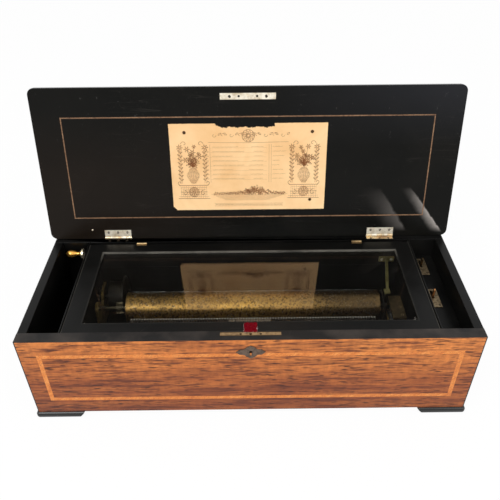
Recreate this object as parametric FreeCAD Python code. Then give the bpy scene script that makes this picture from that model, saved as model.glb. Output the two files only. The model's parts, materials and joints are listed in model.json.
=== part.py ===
import FreeCAD, Part
import math
import os

from FreeCAD import Vector

# Lever-wound cylinder music box, lid open. Millimetres; X runs along the box, Y to the back, Z up.
# The case is laid out with x = 0 at mid length, y = 0 at the front face and z = 0 at the floor.

# Case
case_width = 560.0
case_depth = 208.5
case_height = 130.0
front_wall = 15.0
back_wall = 10.0
side_wall = 12.0
bottom_thickness = 9.0
foot_height = 10.0
foot_arm = 53.0
foot_width = 20.0
foot_proud = 3.0
foot_rounding = 4.0
foot_slant = 8.5

# Band let into the front
band_width = 5.5
band_depth = 0.8
band_side_margin = 21.5
band_top_margin = 23.2
band_bottom_margin = 22.7

# Lock and key plate
selvage_length = 73.0
selvage_width = 6.6
selvage_thickness = 1.5
selvage_back_margin = 1.7
lock_length = 44.0
lock_height = 34.0
stud_radius = 1.1
stud_length = 3.0
stud_clearance = 0.7
hook_hole_spacing = 24.0
hook_hole_radius = 1.5
plate_screw_spacing = 48.0
keyhole_radius = 2.1
keyhole_slot = 2.0
keyhole_drop = 6.0
escutcheon_width = 36.0
escutcheon_height = 21.5
escutcheon_thickness = 0.9
escutcheon_drop = 20.5
shoulder_x = 12.6
shoulder_z = 4.7
waist_x = 7.4
waist_z = 5.3
waist_hollow = 0.6
lobe_swell = 0.9

# Main lid, built closed and then leant back on its hinges
lid_thickness = 11.0
lid_overhang = 2.4
lid_side_overhang = 5.4
lid_gap = 0.6
lid_edge_radius = 6.0
lid_corner_radius = 9.0
lid_lean = 12.3
hinge_inset = 1.0
hinge_rise = 2.0
hinge_length = 38.0
hinge_end_margin = 91.0
lid_leaf_width = 12.0
case_leaf_margin = 0.5
hinge_leaf_thickness = 1.2
knuckle_radius = 2.4
knuckle_count = 5
knuckle_gap = 0.3
knuckle_relief = 0.4
hinge_pin_radius = 0.9
running_clearance = 0.05
striker_margin = 0.8
string_width = 1.5
string_depth = 0.6
string_side_margin = 37.3
string_front_margin = 37.7
string_back_margin = 31.2

# Tune sheet tacked to the lid, its rise measured from the hinge axis
sheet_width = 212.0
sheet_height = 121.0
sheet_thickness = 0.3
sheet_rise = 41.8
sheet_clip = 6.0
sheet_tear_depth = 5.0
sheet_tear_start = 63.0
sheet_tear_length = 78.0
tack_radius = 2.0
tack_height = 0.9
tack_inset_x = 20.5
tack_inset_top = 11.5
tack_inset_bottom = 14.3

# Compartments at the two ends and the control shelf
compartment_width = 37.3
partition_thickness = 9.0
partition_lip = 1.7
shelf_drop = 30.0
shelf_thickness = 6.0
rail_thickness = 3.6
rail_below_stay = 7.6

# Glass lid
glass_clearance = 0.4
glass_drop = 1.6
frame_thickness = 9.0
frame_front_rail = 17.5
frame_back_rail = 19.0
frame_stile = 23.0
frame_rebate = 4.0
frame_lip = 3.0
pane_thickness = 2.8
glass_hinge_length = 14.0
glass_hinge_margin = 74.1
glass_knuckle_count = 3
glass_knuckle_radius = 1.6
glass_leaf_thickness = 0.8
glass_leaf_width = 3.0
glass_pin_radius = 0.6
ribbon_width = 16.0
ribbon_thickness = 0.4
ribbon_on_frame = 14.5
ribbon_overhang = 2.9
ribbon_float = 0.05

# Control levers and their slotted plates
plate_length = 36.0
plate_width = 12.0
plate_thickness = 1.2
plate_inset = 18.5
change_plate_margin = 27.5
control_spacing = 68.0
slot_width = 3.6
slot_length = 17.0
slot_shift = 7.0
slot_offset = 2.0
lever_thickness = 2.4
lever_width = 4.0
lever_rise = 15.0
lever_pivot_drop = 18.0
lever_boss_radius = 4.0
lever_pin_radius = 1.2
bracket_thickness = 3.0
bracket_gap = 0.3
control_swing = 14.0

# Movement bed
bearer_height = 17.0
bearer_width = 16.0
bed_end_gap = 8.7
bed_thickness = 6.0
bed_front_gap = 14.0
bed_back_gap = 17.5
bed_corner_radius = 6.0
bed_screw_radius = 3.0
bed_screw_head = 5.0
bed_screw_height = 3.0
bed_screw_inset = 10.0

# Cylinder, its axis measured from the bed and from the back of the case
cylinder_radius = 22.0
cylinder_wall = 1.8
cylinder_axis_rise = 42.0
cylinder_back_distance = 80.8
cap_thickness = 4.0
arbor_radius = 3.0
tune_count = 8
pin_height = 0.9
pin_radius = 0.25
golden_angle = 137.508
tip_gap = 0.3

# Comb
tooth_pitch = 3.63
tooth_gap = 0.55
tooth_length = 27.0
tooth_thickness = 2.0
comb_thickness = 4.0
comb_depth = 50.0
comb_base_setback = 3.0
comb_end_margin = 5.9
comb_screw_radius = 2.2
comb_screw_head = 4.2
comb_screw_height = 2.2
comb_screw_count = 6
comb_screw_inset = 12.0
comb_screw_margin = 12.0

# Wheels: modules, teeth, tooth form as shares of the module and of the pitch
barrel_module = 0.9
barrel_teeth = 64
cylinder_pinion_teeth = 16
cylinder_pinion_length = 9.0
great_module = 0.7
great_teeth = 60
governor_pinion_teeth = 10
second_module = 0.5
second_teeth = 50
third_pinion_teeth = 8
third_module = 0.45
third_teeth = 40
wheel_thickness = 2.4
fine_wheel_thickness = 1.8
pinion_overhang = 0.5
mesh_clearance = 0.15
tooth_above = 0.8
tooth_below = 1.15
tooth_root_share = 0.30
tooth_tip_share = 0.09
great_hub_radius = 6.0
great_rim_width = 3.0
great_spokes = 2

# Room along the axis between the pieces of the train, from the two partitions inwards
left_bridge_gap = 8.0
barrel_gap = 9.6
bearing_gap = 1.0
barrel_mesh_overhang = 1.5
slide_gap = 4.0
great_gap = 4.0
great_bridge_gap = 2.0
governor_gap = 1.5
train_spacing = 5.0
governor_end_gap = 10.0

# Spring barrel and winding gear
barrel_radius = 22.0
barrel_length = 20.0
barrel_bed_clearance = 4.0
ratchet_teeth = 24
ratchet_radius = 12.0
ratchet_depth = 1.6
ratchet_thickness = 2.4
ratchet_face_share = 0.15
pawl_gap = 0.25
pawl_width = 5.0
pawl_length = 16.0
pawl_nose_radius = 0.5
pawl_pin_radius = 1.0
click_angle = 75.0
arbor_end = 2.0
bridge_thickness = 4.0
thin_bridge_thickness = 2.0
bridge_boss_radius = 9.0
lever_arm_gap = 4.6
lever_arm_thickness = 2.8
lever_arm_boss = 9.0
lever_arm_tip = 5.5
knob_back_gap = 10.0
knob_drop = 12.3
knob_collar_radius = 7.0
knob_collar_thickness = 2.6
knob_flare_radius = 4.2
knob_flare_end = 4.2
knob_neck_radius = 2.7
knob_neck_start = 6.6
knob_neck_end = 9.0
knob_swell_at = 13.2
knob_swell_radius = 4.4
knob_bulb_radius = 5.4
knob_bulb_middle = 17.5
knob_end_at = 22.5
knob_end_radius = 4.2
knob_tip_radius = 1.5
knob_length = 25.0

# Stay from the right bridge to the rail
neck_height = 18.0
stay_width = 4.0
stay_thickness = 3.0
stay_slant = 14.0
stay_foot = 22.0
stay_foot_height = 8.0

# Governor
governor_angle = 230.0
governor_cheek = 2.5
governor_arbor_radius = 1.0
governor_edge = 2.0
cheek_margin = 5.0
cheek_height = 5.0
worm_outer_radius = 2.6
worm_root_radius = 1.9
worm_sunk = 0.3
worm_crest_share = 0.07
worm_root_share = 0.22
worm_shoulder = 1.0
worm_turns = 5
worm_steps = 12
worm_pivot_radius = 0.8
fly_radius = 7.0
fly_height = 9.0
fly_thickness = 0.8
fly_collar_radius = 1.6
fly_clearance = 1.0
cock_thickness = 3.0
cock_overhang = 7.5

EAST = Vector(1, 0, 0)
NORTH = Vector(0, 1, 0)
UP = Vector(0, 0, 1)
tiny = 0.01

# Levels and lines of the case and its lids
half_width = case_width / 2
floor_z = foot_height
rim_z = floor_z + case_height
inside_z = floor_z + bottom_thickness
inner_x = half_width - side_wall
inner_back_y = case_depth - back_wall
hinge_x = half_width - hinge_end_margin
hinge_y = case_depth - hinge_inset
hinge_z = rim_z + hinge_rise
case_leaf_width = back_wall - hinge_inset - case_leaf_margin
lid_face_z = rim_z + lid_gap
lid_front_y = -lid_overhang
lid_half_width = half_width + lid_side_overhang
open_angle = 90 + lid_lean
selvage_y = front_wall - selvage_back_margin - selvage_width / 2
keyhole_z = rim_z - escutcheon_drop
partition_x = inner_x - compartment_width
partition_inner_x = partition_x - partition_thickness
rail_y = inner_back_y - rail_thickness
frame_top_z = rim_z - glass_drop
frame_bottom_z = frame_top_z - frame_thickness
frame_x = partition_x - partition_lip - glass_clearance
frame_front_y = front_wall + glass_clearance
glass_hinge_x = frame_x - glass_hinge_margin
glass_axis_y = inner_back_y - rail_thickness / 2
frame_back_y = glass_axis_y - glass_knuckle_radius - glass_clearance
rail_top_z = frame_top_z - glass_knuckle_radius - glass_clearance
shelf_top_z = rim_z - shelf_drop
shelf_bottom_z = shelf_top_z - shelf_thickness

# Levels of the movement
bed_bottom_z = inside_z + bearer_height
bed_top_z = bed_bottom_z + bed_thickness
bed_x = partition_inner_x - bed_end_gap
bed_front_y = front_wall + bed_front_gap
bed_back_y = inner_back_y - bed_back_gap
axis_y = inner_back_y - cylinder_back_distance
axis_z = bed_top_z + cylinder_axis_rise
stay_top_z = axis_z + bridge_boss_radius + neck_height

# Train from the left partition to the cylinder
left_bridge_x0 = -partition_inner_x + left_bridge_gap
left_bridge_x1 = left_bridge_x0 + bridge_thickness
barrel_x0 = left_bridge_x1 + barrel_gap
barrel_wheel_x0 = barrel_x0 + barrel_length
barrel_wheel_x1 = barrel_wheel_x0 + wheel_thickness
barrel_bridge_x0 = barrel_wheel_x1 + bearing_gap
barrel_bridge_x1 = barrel_bridge_x0 + thin_bridge_thickness
pinion_x1 = barrel_wheel_x1 + barrel_mesh_overhang
pinion_x0 = pinion_x1 - cylinder_pinion_length
tune_travel = tooth_pitch * (tune_count - 1) / tune_count
cylinder_left = pinion_x1 + slide_gap + tune_travel

# Train from the right partition back to the cylinder
cheek_b_x1 = partition_inner_x - governor_end_gap
cheek_b_x0 = cheek_b_x1 - governor_cheek
third_x = cheek_b_x0 - fly_clearance - fly_radius
third_x0 = third_x - fine_wheel_thickness / 2
third_x1 = third_x + fine_wheel_thickness / 2
second_x1 = third_x - train_spacing
second_x0 = second_x1 - fine_wheel_thickness
cheek_a_x1 = second_x0 - bearing_gap
cheek_a_x0 = cheek_a_x1 - governor_cheek
right_bridge_x1 = cheek_a_x0 - governor_gap
right_bridge_x0 = right_bridge_x1 - bridge_thickness
great_x1 = right_bridge_x0 - great_bridge_gap
great_x0 = great_x1 - wheel_thickness
cylinder_right = great_x0 - great_gap

# Comb, as long as the cylinder, with as many teeth as fit between its ends
tooth_count = int((cylinder_right - cylinder_left - 2 * comb_end_margin) / tooth_pitch)
first_gap_x = (cylinder_left + cylinder_right - tooth_count * tooth_pitch) / 2
last_gap_x = first_gap_x + tooth_count * tooth_pitch
tip_y = axis_y - cylinder_radius - pin_height - tip_gap
tooth_root_y = tip_y - tooth_length
comb_front_y = tip_y - comb_depth
comb_bottom_z = axis_z - comb_thickness / 2
comb_top_z = axis_z + comb_thickness / 2
bearing_radius = arbor_radius + running_clearance


def block(x0, x1, y0, y1, z0, z1):
    return Part.makeBox(x1 - x0, y1 - y0, z1 - z0, Vector(x0, y0, z0))


def rod_x(x0, x1, y, z, radius):
    return Part.makeCylinder(radius, x1 - x0, Vector(x0, y, z), EAST)


def rod_y(y0, y1, x, z, radius):
    return Part.makeCylinder(radius, y1 - y0, Vector(x, y0, z), NORTH)


def rod_z(z0, z1, x, y, radius):
    return Part.makeCylinder(radius, z1 - z0, Vector(x, y, z0), UP)


def prism(points, direction):
    """Solid swept along direction from a closed outline of points."""
    outline = Part.makePolygon(points + [points[0]])
    return Part.Face(outline).extrude(direction)


def prism_x(pairs, x0, x1):
    return prism([Vector(x0, y, z) for y, z in pairs], EAST * (x1 - x0))


def prism_y(pairs, y0, y1):
    return prism([Vector(x, y0, z) for x, z in pairs], NORTH * (y1 - y0))


def prism_z(pairs, z0, z1):
    return prism([Vector(x, y, z0) for x, y in pairs], UP * (z1 - z0))


def polar(y, z, radius, degrees):
    """Point at an angle from +Y towards +Z about the X-wise axis through (y, z)."""
    angle = math.radians(degrees)
    return (y + radius * math.cos(angle), z + radius * math.sin(angle))


def mirrored(shape):
    return shape.mirror(Vector(0, 0, 0), EAST)


def joined(shapes):
    return shapes[0].fuse(shapes[1:]).removeSplitter()


def group(shapes):
    return Part.makeCompound(shapes)


def upright_band(x0, x1, y0, y1, z0, z1, width):
    """Rectangular band standing in the XZ plane, of the given width all round."""
    return block(x0, x1, y0, y1, z0, z1).cut(
        block(x0 + width, x1 - width, y0, y1, z0 + width, z1 - width))


def level_band(x0, x1, y0, y1, z0, z1, width):
    """Rectangular band lying in the XY plane, of the given width all round."""
    return block(x0, x1, y0, y1, z0, z1).cut(
        block(x0 + width, x1 - width, y0 + width, y1 - width, z0, z1))


def edges_along(shape, direction, test):
    """Straight edges parallel to direction whose midpoint passes the test."""
    chosen = []
    for edge in shape.Edges:
        run = edge.Vertexes[-1].Point - edge.Vertexes[0].Point
        if run.Length > 0 and abs(run.normalize().dot(direction)) > 1 - tiny and test(edge.CenterOfMass):
            chosen.append(edge)
    return chosen


parts = {}


# Case

def front_band():
    half = half_width - band_side_margin
    return upright_band(-half, half, 0, band_depth, floor_z + band_bottom_margin,
                        rim_z - band_top_margin, band_width)


def keyhole(y0, y1):
    half = keyhole_slot / 2
    slot = block(-half, half, y0, y1, keyhole_z - keyhole_drop, keyhole_z)
    return rod_y(y0, y1, 0, keyhole_z, keyhole_radius).fuse(slot)


def lock_body():
    """Lock box under its long top plate, the selvage."""
    front_y = selvage_y - selvage_width / 2
    back_y = selvage_y + selvage_width / 2
    top = block(-selvage_length / 2, selvage_length / 2, front_y, back_y, rim_z - selvage_thickness, rim_z)
    box = block(-lock_length / 2, lock_length / 2, front_y, back_y, rim_z - lock_height, rim_z)
    return joined([top, box])


def lock_holes():
    """Sockets for the lid's stud and for the two hook holes beside it."""
    bottom = rim_z - 2 * stud_length
    holes = [rod_z(bottom, rim_z, 0, selvage_y, stud_radius + stud_clearance)]
    for side in (-1, 1):
        holes.append(rod_z(bottom, rim_z, side * hook_hole_spacing / 2, selvage_y, hook_hole_radius))
    return group(holes)


def case_leaf_recess(side):
    """Recess for the fixed hinge leaf in the top of the back."""
    middle = side * hinge_x
    return block(middle - hinge_length / 2, middle + hinge_length / 2, hinge_y - case_leaf_width,
                 case_depth, rim_z - hinge_leaf_thickness, rim_z)


def front_panel():
    panel = block(-half_width, half_width, 0, front_wall, floor_z, rim_z)
    return panel.cut(front_band()).cut(lock_body()).cut(keyhole(0, front_wall / 2))


def back_panel():
    panel = block(-half_width, half_width, inner_back_y, case_depth, floor_z, rim_z)
    return panel.cut(case_leaf_recess(-1)).cut(case_leaf_recess(1))


def corner_foot(side, y_outer, inward):
    """L-shaped foot, rounded outside, with slanted ends; inward is 1 at the front and -1 at the back."""
    x_outer = side * (half_width + foot_proud)
    x_arm = x_outer - side * (foot_arm + foot_proud)
    x_slant = x_arm - side * foot_slant
    y_arm = y_outer + inward * (foot_arm + foot_proud)
    y_slant = y_arm + inward * foot_slant
    x_inner = x_outer - side * foot_width
    y_inner = y_outer + inward * foot_width
    long_arm = prism_y([(x_outer, 0), (x_arm, 0), (x_slant, foot_height), (x_outer, foot_height)],
                       min(y_outer, y_inner), max(y_outer, y_inner))
    short_arm = prism_x([(y_outer, 0), (y_arm, 0), (y_slant, foot_height), (y_outer, foot_height)],
                        min(x_outer, x_inner), max(x_outer, x_inner))
    foot = joined([long_arm, short_arm])

    def at_side(point):
        return abs(point.x - x_outer) < tiny

    def at_end(point):
        return abs(point.y - y_outer) < tiny

    rounded = edges_along(foot, EAST, at_end) + edges_along(foot, NORTH, at_side)
    rounded += edges_along(foot, UP, lambda point: at_side(point) and at_end(point))
    return foot.makeFillet(foot_rounding, rounded)


def feet():
    shapes = []
    for side in (-1, 1):
        shapes.append(corner_foot(side, -foot_proud, 1))
        shapes.append(corner_foot(side, case_depth, -1))
    return group(shapes)


def escutcheon():
    """Diamond plate with pointed ends, small shoulders, hollow waists and a swelling middle."""
    half_long = escutcheon_width / 2
    half_high = escutcheon_height / 2
    corners = [Vector(half_long, 0, 0), Vector(shoulder_x, 0, shoulder_z), Vector(waist_x, 0, waist_z),
               Vector(0, 0, half_high)]
    hollow = (corners[1] + corners[2]) / 2 - UP * waist_hollow
    swell = (corners[2] + corners[3]) / 2 + UP * lobe_swell
    centre = Vector(0, 0, 0)
    outline = Part.Wire([Part.makeLine(centre, corners[0]), Part.makeLine(corners[0], corners[1]),
                         Part.Arc(corners[1], hollow, corners[2]).toShape(),
                         Part.Arc(corners[2], swell, corners[3]).toShape(),
                         Part.makeLine(corners[3], centre)])
    quarter = Part.Face(outline).extrude(NORTH * -escutcheon_thickness)
    half = joined([quarter, quarter.mirror(centre, UP)])
    plate = joined([half, half.mirror(centre, EAST)])
    plate.translate(UP * keyhole_z)
    return plate.cut(keyhole(-escutcheon_thickness, 0))


parts["front_panel"] = front_panel()
parts["front_band"] = front_band()
parts["lock"] = lock_body().cut(lock_holes()).cut(keyhole(0, front_wall / 2))
parts["back_panel"] = back_panel()
parts["right_panel"] = block(inner_x, half_width, front_wall, inner_back_y, floor_z, rim_z)
parts["left_panel"] = mirrored(parts["right_panel"])
parts["bottom_board"] = block(-inner_x, inner_x, front_wall, inner_back_y, floor_z, inside_z)
parts["feet"] = feet()
parts["escutcheon"] = escutcheon()


# Hinges

def knuckle_spans(middle, length, count, gap, wanted):
    """Ends of every second knuckle of a hinge, starting with number wanted."""
    step = length / count
    spans = []
    for number in range(wanted, count, 2):
        start = middle - length / 2 + number * step
        left = start + (gap / 2 if number > 0 else 0)
        right = start + step - (gap / 2 if number < count - 1 else 0)
        spans.append((left, right))
    return spans


def hinge_leaf(leaf, middle, length, count, y, z, radius, pin_radius, wanted):
    """Leaf with its own knuckles, cut back from the mating ones and bored for the pin."""
    own = [rod_x(left, right, y, z, radius)
           for left, right in knuckle_spans(middle, length, count, knuckle_gap, wanted)]
    mating = group([rod_x(left, right, y, z, radius + knuckle_gap)
                    for left, right in knuckle_spans(middle, length, count, 0, 1 - wanted)])
    bore = rod_x(middle - length, middle + length, y, z, pin_radius + running_clearance)
    return joined([leaf.cut(mating)] + own).cut(mating).cut(bore)


def case_leaf(side, wanted, y0, y1, z0):
    middle = side * hinge_x
    leaf = block(middle - hinge_length / 2, middle + hinge_length / 2, y0, y1, z0, z0 + hinge_leaf_thickness)
    return hinge_leaf(leaf, middle, hinge_length, knuckle_count, hinge_y, hinge_z, knuckle_radius,
                      hinge_pin_radius, wanted)


def case_pin(side):
    middle = side * hinge_x
    return rod_x(middle - hinge_length / 2, middle + hinge_length / 2, hinge_y, hinge_z, hinge_pin_radius)


parts["case_hinge_leaves"] = group(
    [case_leaf(side, 0, hinge_y - case_leaf_width, case_depth, rim_z - hinge_leaf_thickness)
     for side in (-1, 1)])
parts["case_hinge_pins"] = group([case_pin(side) for side in (-1, 1)])


# Main lid

def opened(shape):
    """The closed shape turned back about the hinge axis."""
    turned = shape.copy()
    turned.rotate(Vector(0, hinge_y, hinge_z), EAST, -open_angle)
    return turned


def lid_leaf_recess(side):
    middle = side * hinge_x
    slot = block(middle - hinge_length / 2, middle + hinge_length / 2, hinge_y - lid_leaf_width,
                 case_depth, lid_face_z, lid_face_z + hinge_leaf_thickness)
    reach = hinge_length / 2 + knuckle_relief
    radius = knuckle_radius + knuckle_relief
    return slot.fuse(rod_x(middle - reach, middle + reach, hinge_y, hinge_z, radius))


def lid_stringing():
    half = lid_half_width - string_side_margin
    return level_band(-half, half, lid_front_y + string_front_margin, case_depth - string_back_margin,
                      lid_face_z, lid_face_z + string_depth, string_width)


def striker_plate():
    """Flat plate let into the lid face over the lock."""
    reach = selvage_width / 2 + striker_margin
    return block(-selvage_length / 2, selvage_length / 2, selvage_y - reach, selvage_y + reach,
                 lid_face_z, lid_face_z + selvage_thickness)


def link_plate():
    """Striker plate with its stud, the two holes that the bolt hooks into and two screw holes."""
    stud = rod_z(lid_face_z - stud_length, lid_face_z, 0, selvage_y, stud_radius)
    plate = striker_plate().fuse(stud)
    for side in (-1, 1):
        for spacing in (hook_hole_spacing, plate_screw_spacing):
            plate = plate.cut(rod_z(lid_face_z, lid_face_z + selvage_thickness, side * spacing / 2,
                                    selvage_y, hook_hole_radius))
    return plate.removeSplitter()


def lid_board():
    board = block(-lid_half_width, lid_half_width, lid_front_y, case_depth, lid_face_z,
                  lid_face_z + lid_thickness)
    board = board.makeFillet(lid_corner_radius, edges_along(board, UP, lambda point: True))
    top = max(board.Faces, key=lambda face: face.CenterOfMass.z)
    board = board.makeFillet(lid_edge_radius, top.Edges)
    for recess in (lid_leaf_recess(-1), lid_leaf_recess(1), lid_stringing(), striker_plate()):
        board = board.cut(recess)
    return board


parts["lid_board"] = opened(lid_board())
parts["lid_stringing"] = opened(lid_stringing())
parts["link_plate"] = opened(link_plate())
parts["lid_hinge_leaves"] = opened(group(
    [case_leaf(side, 1, hinge_y - lid_leaf_width, hinge_y, lid_face_z) for side in (-1, 1)]))

sheet_low_y = hinge_y - sheet_rise
sheet_high_y = sheet_low_y - sheet_height
tack_x = sheet_width / 2 - tack_inset_x
paper_z = lid_face_z - sheet_thickness


def tune_sheet():
    """Paper with one clipped corner and a strip torn from its top edge."""
    half = sheet_width / 2
    tear_left = -half + sheet_tear_start
    tear_right = tear_left + sheet_tear_length
    torn_y = sheet_high_y + sheet_tear_depth
    pairs = [(-half + sheet_clip, sheet_low_y), (half, sheet_low_y), (half, sheet_high_y),
             (tear_right, sheet_high_y), (tear_right, torn_y), (tear_left, torn_y),
             (tear_left, sheet_high_y), (-half, sheet_high_y), (-half, sheet_low_y - sheet_clip)]
    return prism_z(pairs, paper_z, lid_face_z)


def tack(x, y):
    """Domed tack head on the paper."""
    ball_radius = (tack_radius ** 2 + tack_height ** 2) / (2 * tack_height)
    ball = Part.makeSphere(ball_radius, Vector(x, y, paper_z + ball_radius - tack_height))
    return ball.common(rod_z(paper_z - tack_height, paper_z, x, y, ball_radius))


parts["tune_sheet"] = opened(tune_sheet())
parts["sheet_tacks"] = opened(group(
    [tack(-tack_x, sheet_high_y + tack_inset_top), tack(tack_x, sheet_high_y + tack_inset_top),
     tack(tack_x, sheet_low_y - tack_inset_bottom)]))


# Partitions, back rail and control shelf

barrel_distance = barrel_module * (barrel_teeth + cylinder_pinion_teeth) / 2 + mesh_clearance
barrel_wheel_tip = barrel_module * (barrel_teeth / 2 + tooth_above)
barrel_z = bed_top_z + barrel_bed_clearance + barrel_wheel_tip
barrel_angle = math.degrees(math.asin((barrel_z - axis_z) / barrel_distance))
barrel_y = polar(axis_y, axis_z, barrel_distance, barrel_angle)[0]


def partition():
    """Board with a rebate along its top for the glass lid."""
    board = block(partition_inner_x, partition_x, front_wall, inner_back_y, inside_z, rim_z)
    return board.cut(block(partition_inner_x, partition_x - partition_lip, front_wall, inner_back_y,
                           frame_bottom_z, rim_z))


arbor_hole = rod_x(-partition_x, -partition_inner_x, barrel_y, barrel_z, arbor_radius + glass_clearance)
parts["left_partition"] = mirrored(partition()).cut(arbor_hole)
parts["right_partition"] = partition()
parts["back_rail"] = block(-partition_inner_x, partition_inner_x, rail_y, inner_back_y,
                           stay_top_z - stay_foot_height - rail_below_stay, rail_top_z)

plate_x = partition_x + plate_inset
slot_x = plate_x - slot_offset
change_plate_y = inner_back_y - change_plate_margin
start_plate_y = change_plate_y - control_spacing
lever_pivot_z = shelf_bottom_z - lever_pivot_drop


def control_slot(middle_y, z0, z1):
    """Round-ended slot that a lever moves along."""
    reach = (slot_length - slot_width) / 2
    middle = middle_y + slot_shift
    half = slot_width / 2
    return joined([block(slot_x - half, slot_x + half, middle - reach, middle + reach, z0, z1),
                   rod_z(z0, z1, slot_x, middle - reach, half),
                   rod_z(z0, z1, slot_x, middle + reach, half)])


def control_plate(middle_y):
    z1 = shelf_top_z + plate_thickness
    plate = block(plate_x - plate_width / 2, plate_x + plate_width / 2, middle_y - plate_length / 2,
                  middle_y + plate_length / 2, shelf_top_z, z1)
    return plate.cut(control_slot(middle_y, shelf_top_z, z1))


def control_bracket(middle_y):
    """Two cheeks under the shelf, joined by the pin that the lever turns on."""
    pivot_y = middle_y + slot_shift
    foot_z = lever_pivot_z - lever_boss_radius
    near = lever_thickness / 2 + bracket_gap
    far = near + bracket_thickness
    outline = [(pivot_y - lever_boss_radius, foot_z), (pivot_y + lever_boss_radius, foot_z),
               (pivot_y + 2 * lever_boss_radius, shelf_bottom_z),
               (pivot_y - 2 * lever_boss_radius, shelf_bottom_z)]
    return joined([prism_x(outline, slot_x - far, slot_x - near),
                   prism_x(outline, slot_x + near, slot_x + far),
                   rod_x(slot_x - far, slot_x + far, pivot_y, lever_pivot_z, lever_pin_radius)])


def control_lever(middle_y):
    """Flat lever standing in its slot, with a rounded thumb end."""
    pivot_y = middle_y + slot_shift
    x0 = slot_x - lever_thickness / 2
    x1 = slot_x + lever_thickness / 2
    half = lever_width / 2
    tip_z = shelf_top_z + lever_rise - half
    lever = joined([rod_x(x0, x1, pivot_y, lever_pivot_z, lever_boss_radius - bracket_gap),
                    block(x0, x1, pivot_y - half, pivot_y + half, lever_pivot_z, tip_z),
                    rod_x(x0, x1, pivot_y, tip_z, half)])
    lever = lever.cut(rod_x(x0, x1, pivot_y, lever_pivot_z, lever_pin_radius + running_clearance))
    lever.rotate(Vector(0, pivot_y, lever_pivot_z), EAST, control_swing / 2)
    return lever


def control_shelf():
    shelf = block(partition_x, inner_x, front_wall, inner_back_y, shelf_bottom_z, shelf_top_z)
    for middle_y in (start_plate_y, change_plate_y):
        shelf = shelf.cut(control_slot(middle_y, shelf_bottom_z, shelf_top_z))
    return shelf


parts["control_shelf"] = control_shelf()
parts["start_plate"] = control_plate(start_plate_y)
parts["change_plate"] = control_plate(change_plate_y)
parts["control_brackets"] = group([control_bracket(start_plate_y), control_bracket(change_plate_y)])
parts["start_lever"] = control_lever(start_plate_y)
parts["change_lever"] = control_lever(change_plate_y)


# Glass lid

aperture_x = frame_x - frame_stile
aperture_y0 = frame_front_y + frame_front_rail
aperture_y1 = frame_back_y - frame_back_rail
pane_z = frame_top_z - frame_lip


def pane_pocket(z0, z1):
    """Room of the pane inside the frame's rebate."""
    return block(-aperture_x - frame_rebate, aperture_x + frame_rebate, aperture_y0 - frame_rebate,
                 aperture_y1 + frame_rebate, z0, z1)


def glass_hinge_span(side):
    middle = side * glass_hinge_x
    return middle - glass_hinge_length / 2, middle + glass_hinge_length / 2


def glass_recess(side):
    x0, x1 = glass_hinge_span(side)
    return block(x0, x1, frame_back_y - glass_leaf_width, frame_back_y,
                 frame_top_z - glass_leaf_thickness, frame_top_z)


def glass_frame():
    """Four mitred members, rebated below for the pane and above for the hinge leaves."""
    outer = [(-frame_x, frame_front_y), (frame_x, frame_front_y), (frame_x, frame_back_y),
             (-frame_x, frame_back_y)]
    inner = [(-aperture_x, aperture_y0), (aperture_x, aperture_y0), (aperture_x, aperture_y1),
             (-aperture_x, aperture_y1)]
    cuts = group([pane_pocket(frame_bottom_z, pane_z), glass_recess(-1), glass_recess(1)])
    members = []
    for near in range(4):
        far = (near + 1) % 4
        member = prism_z([outer[near], outer[far], inner[far], inner[near]], frame_bottom_z, frame_top_z)
        members.append(member.cut(cuts))
    return group(members)


def glass_hinge(side, leaf, wanted):
    return hinge_leaf(leaf, side * glass_hinge_x, glass_hinge_length, glass_knuckle_count, glass_axis_y,
                      frame_top_z, glass_knuckle_radius, glass_pin_radius, wanted)


def moving_leaf(side):
    """Leaf on the frame, with the middle knuckle."""
    x0, x1 = glass_hinge_span(side)
    leaf = block(x0, x1, frame_back_y - glass_leaf_width, glass_axis_y,
                 frame_top_z - glass_leaf_thickness, frame_top_z)
    return glass_hinge(side, leaf, 1)


def fixed_leaf(side):
    """Leaf standing on the back rail, with the outer knuckles."""
    x0, x1 = glass_hinge_span(side)
    leaf = block(x0, x1, glass_axis_y - glass_leaf_thickness, glass_axis_y + glass_leaf_thickness,
                 rail_top_z, frame_top_z)
    return glass_hinge(side, leaf, 0)


def glass_pin(side):
    x0, x1 = glass_hinge_span(side)
    return rod_x(x0, x1, glass_axis_y, frame_top_z, glass_pin_radius)


def ribbon_pull():
    """Strip lying on the frame's front rail and over the rim of the case."""
    bend_y = frame_front_y + glass_drop
    rim_line_z = rim_z + ribbon_float
    route = [(frame_front_y + ribbon_on_frame, frame_top_z), (bend_y, frame_top_z),
             (frame_front_y, rim_line_z), (frame_front_y - ribbon_overhang, rim_line_z)]
    upper = [(y, z + ribbon_thickness) for y, z in route]
    return prism_x(route + upper[::-1], -ribbon_width / 2, ribbon_width / 2)


parts["glass_frame"] = glass_frame()
parts["glass_pane"] = pane_pocket(pane_z - pane_thickness, pane_z)
parts["glass_hinge_leaves"] = group([moving_leaf(side) for side in (-1, 1)])
parts["rail_hinge_leaves"] = group([fixed_leaf(side) for side in (-1, 1)])
parts["glass_hinge_pins"] = group([glass_pin(side) for side in (-1, 1)])
parts["ribbon_pull"] = ribbon_pull()


# Bed and comb

def bed_bearers():
    return group([block(-partition_inner_x, partition_inner_x, y, y + bearer_width, inside_z, bed_bottom_z)
                  for y in (bed_front_y, bed_back_y - bearer_width)])


def bed_screw_places():
    return [(side * (bed_x - bed_screw_inset), y) for side in (-1, 1)
            for y in (bed_front_y + bed_screw_inset, bed_back_y - bed_screw_inset)]


def bedplate():
    bed = block(-bed_x, bed_x, bed_front_y, bed_back_y, bed_bottom_z, bed_top_z)
    bed = bed.makeFillet(bed_corner_radius, edges_along(bed, UP, lambda point: True))
    for x, y in bed_screw_places():
        bed = bed.cut(rod_z(bed_bottom_z, bed_top_z, x, y, bed_screw_radius))
    return bed


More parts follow.
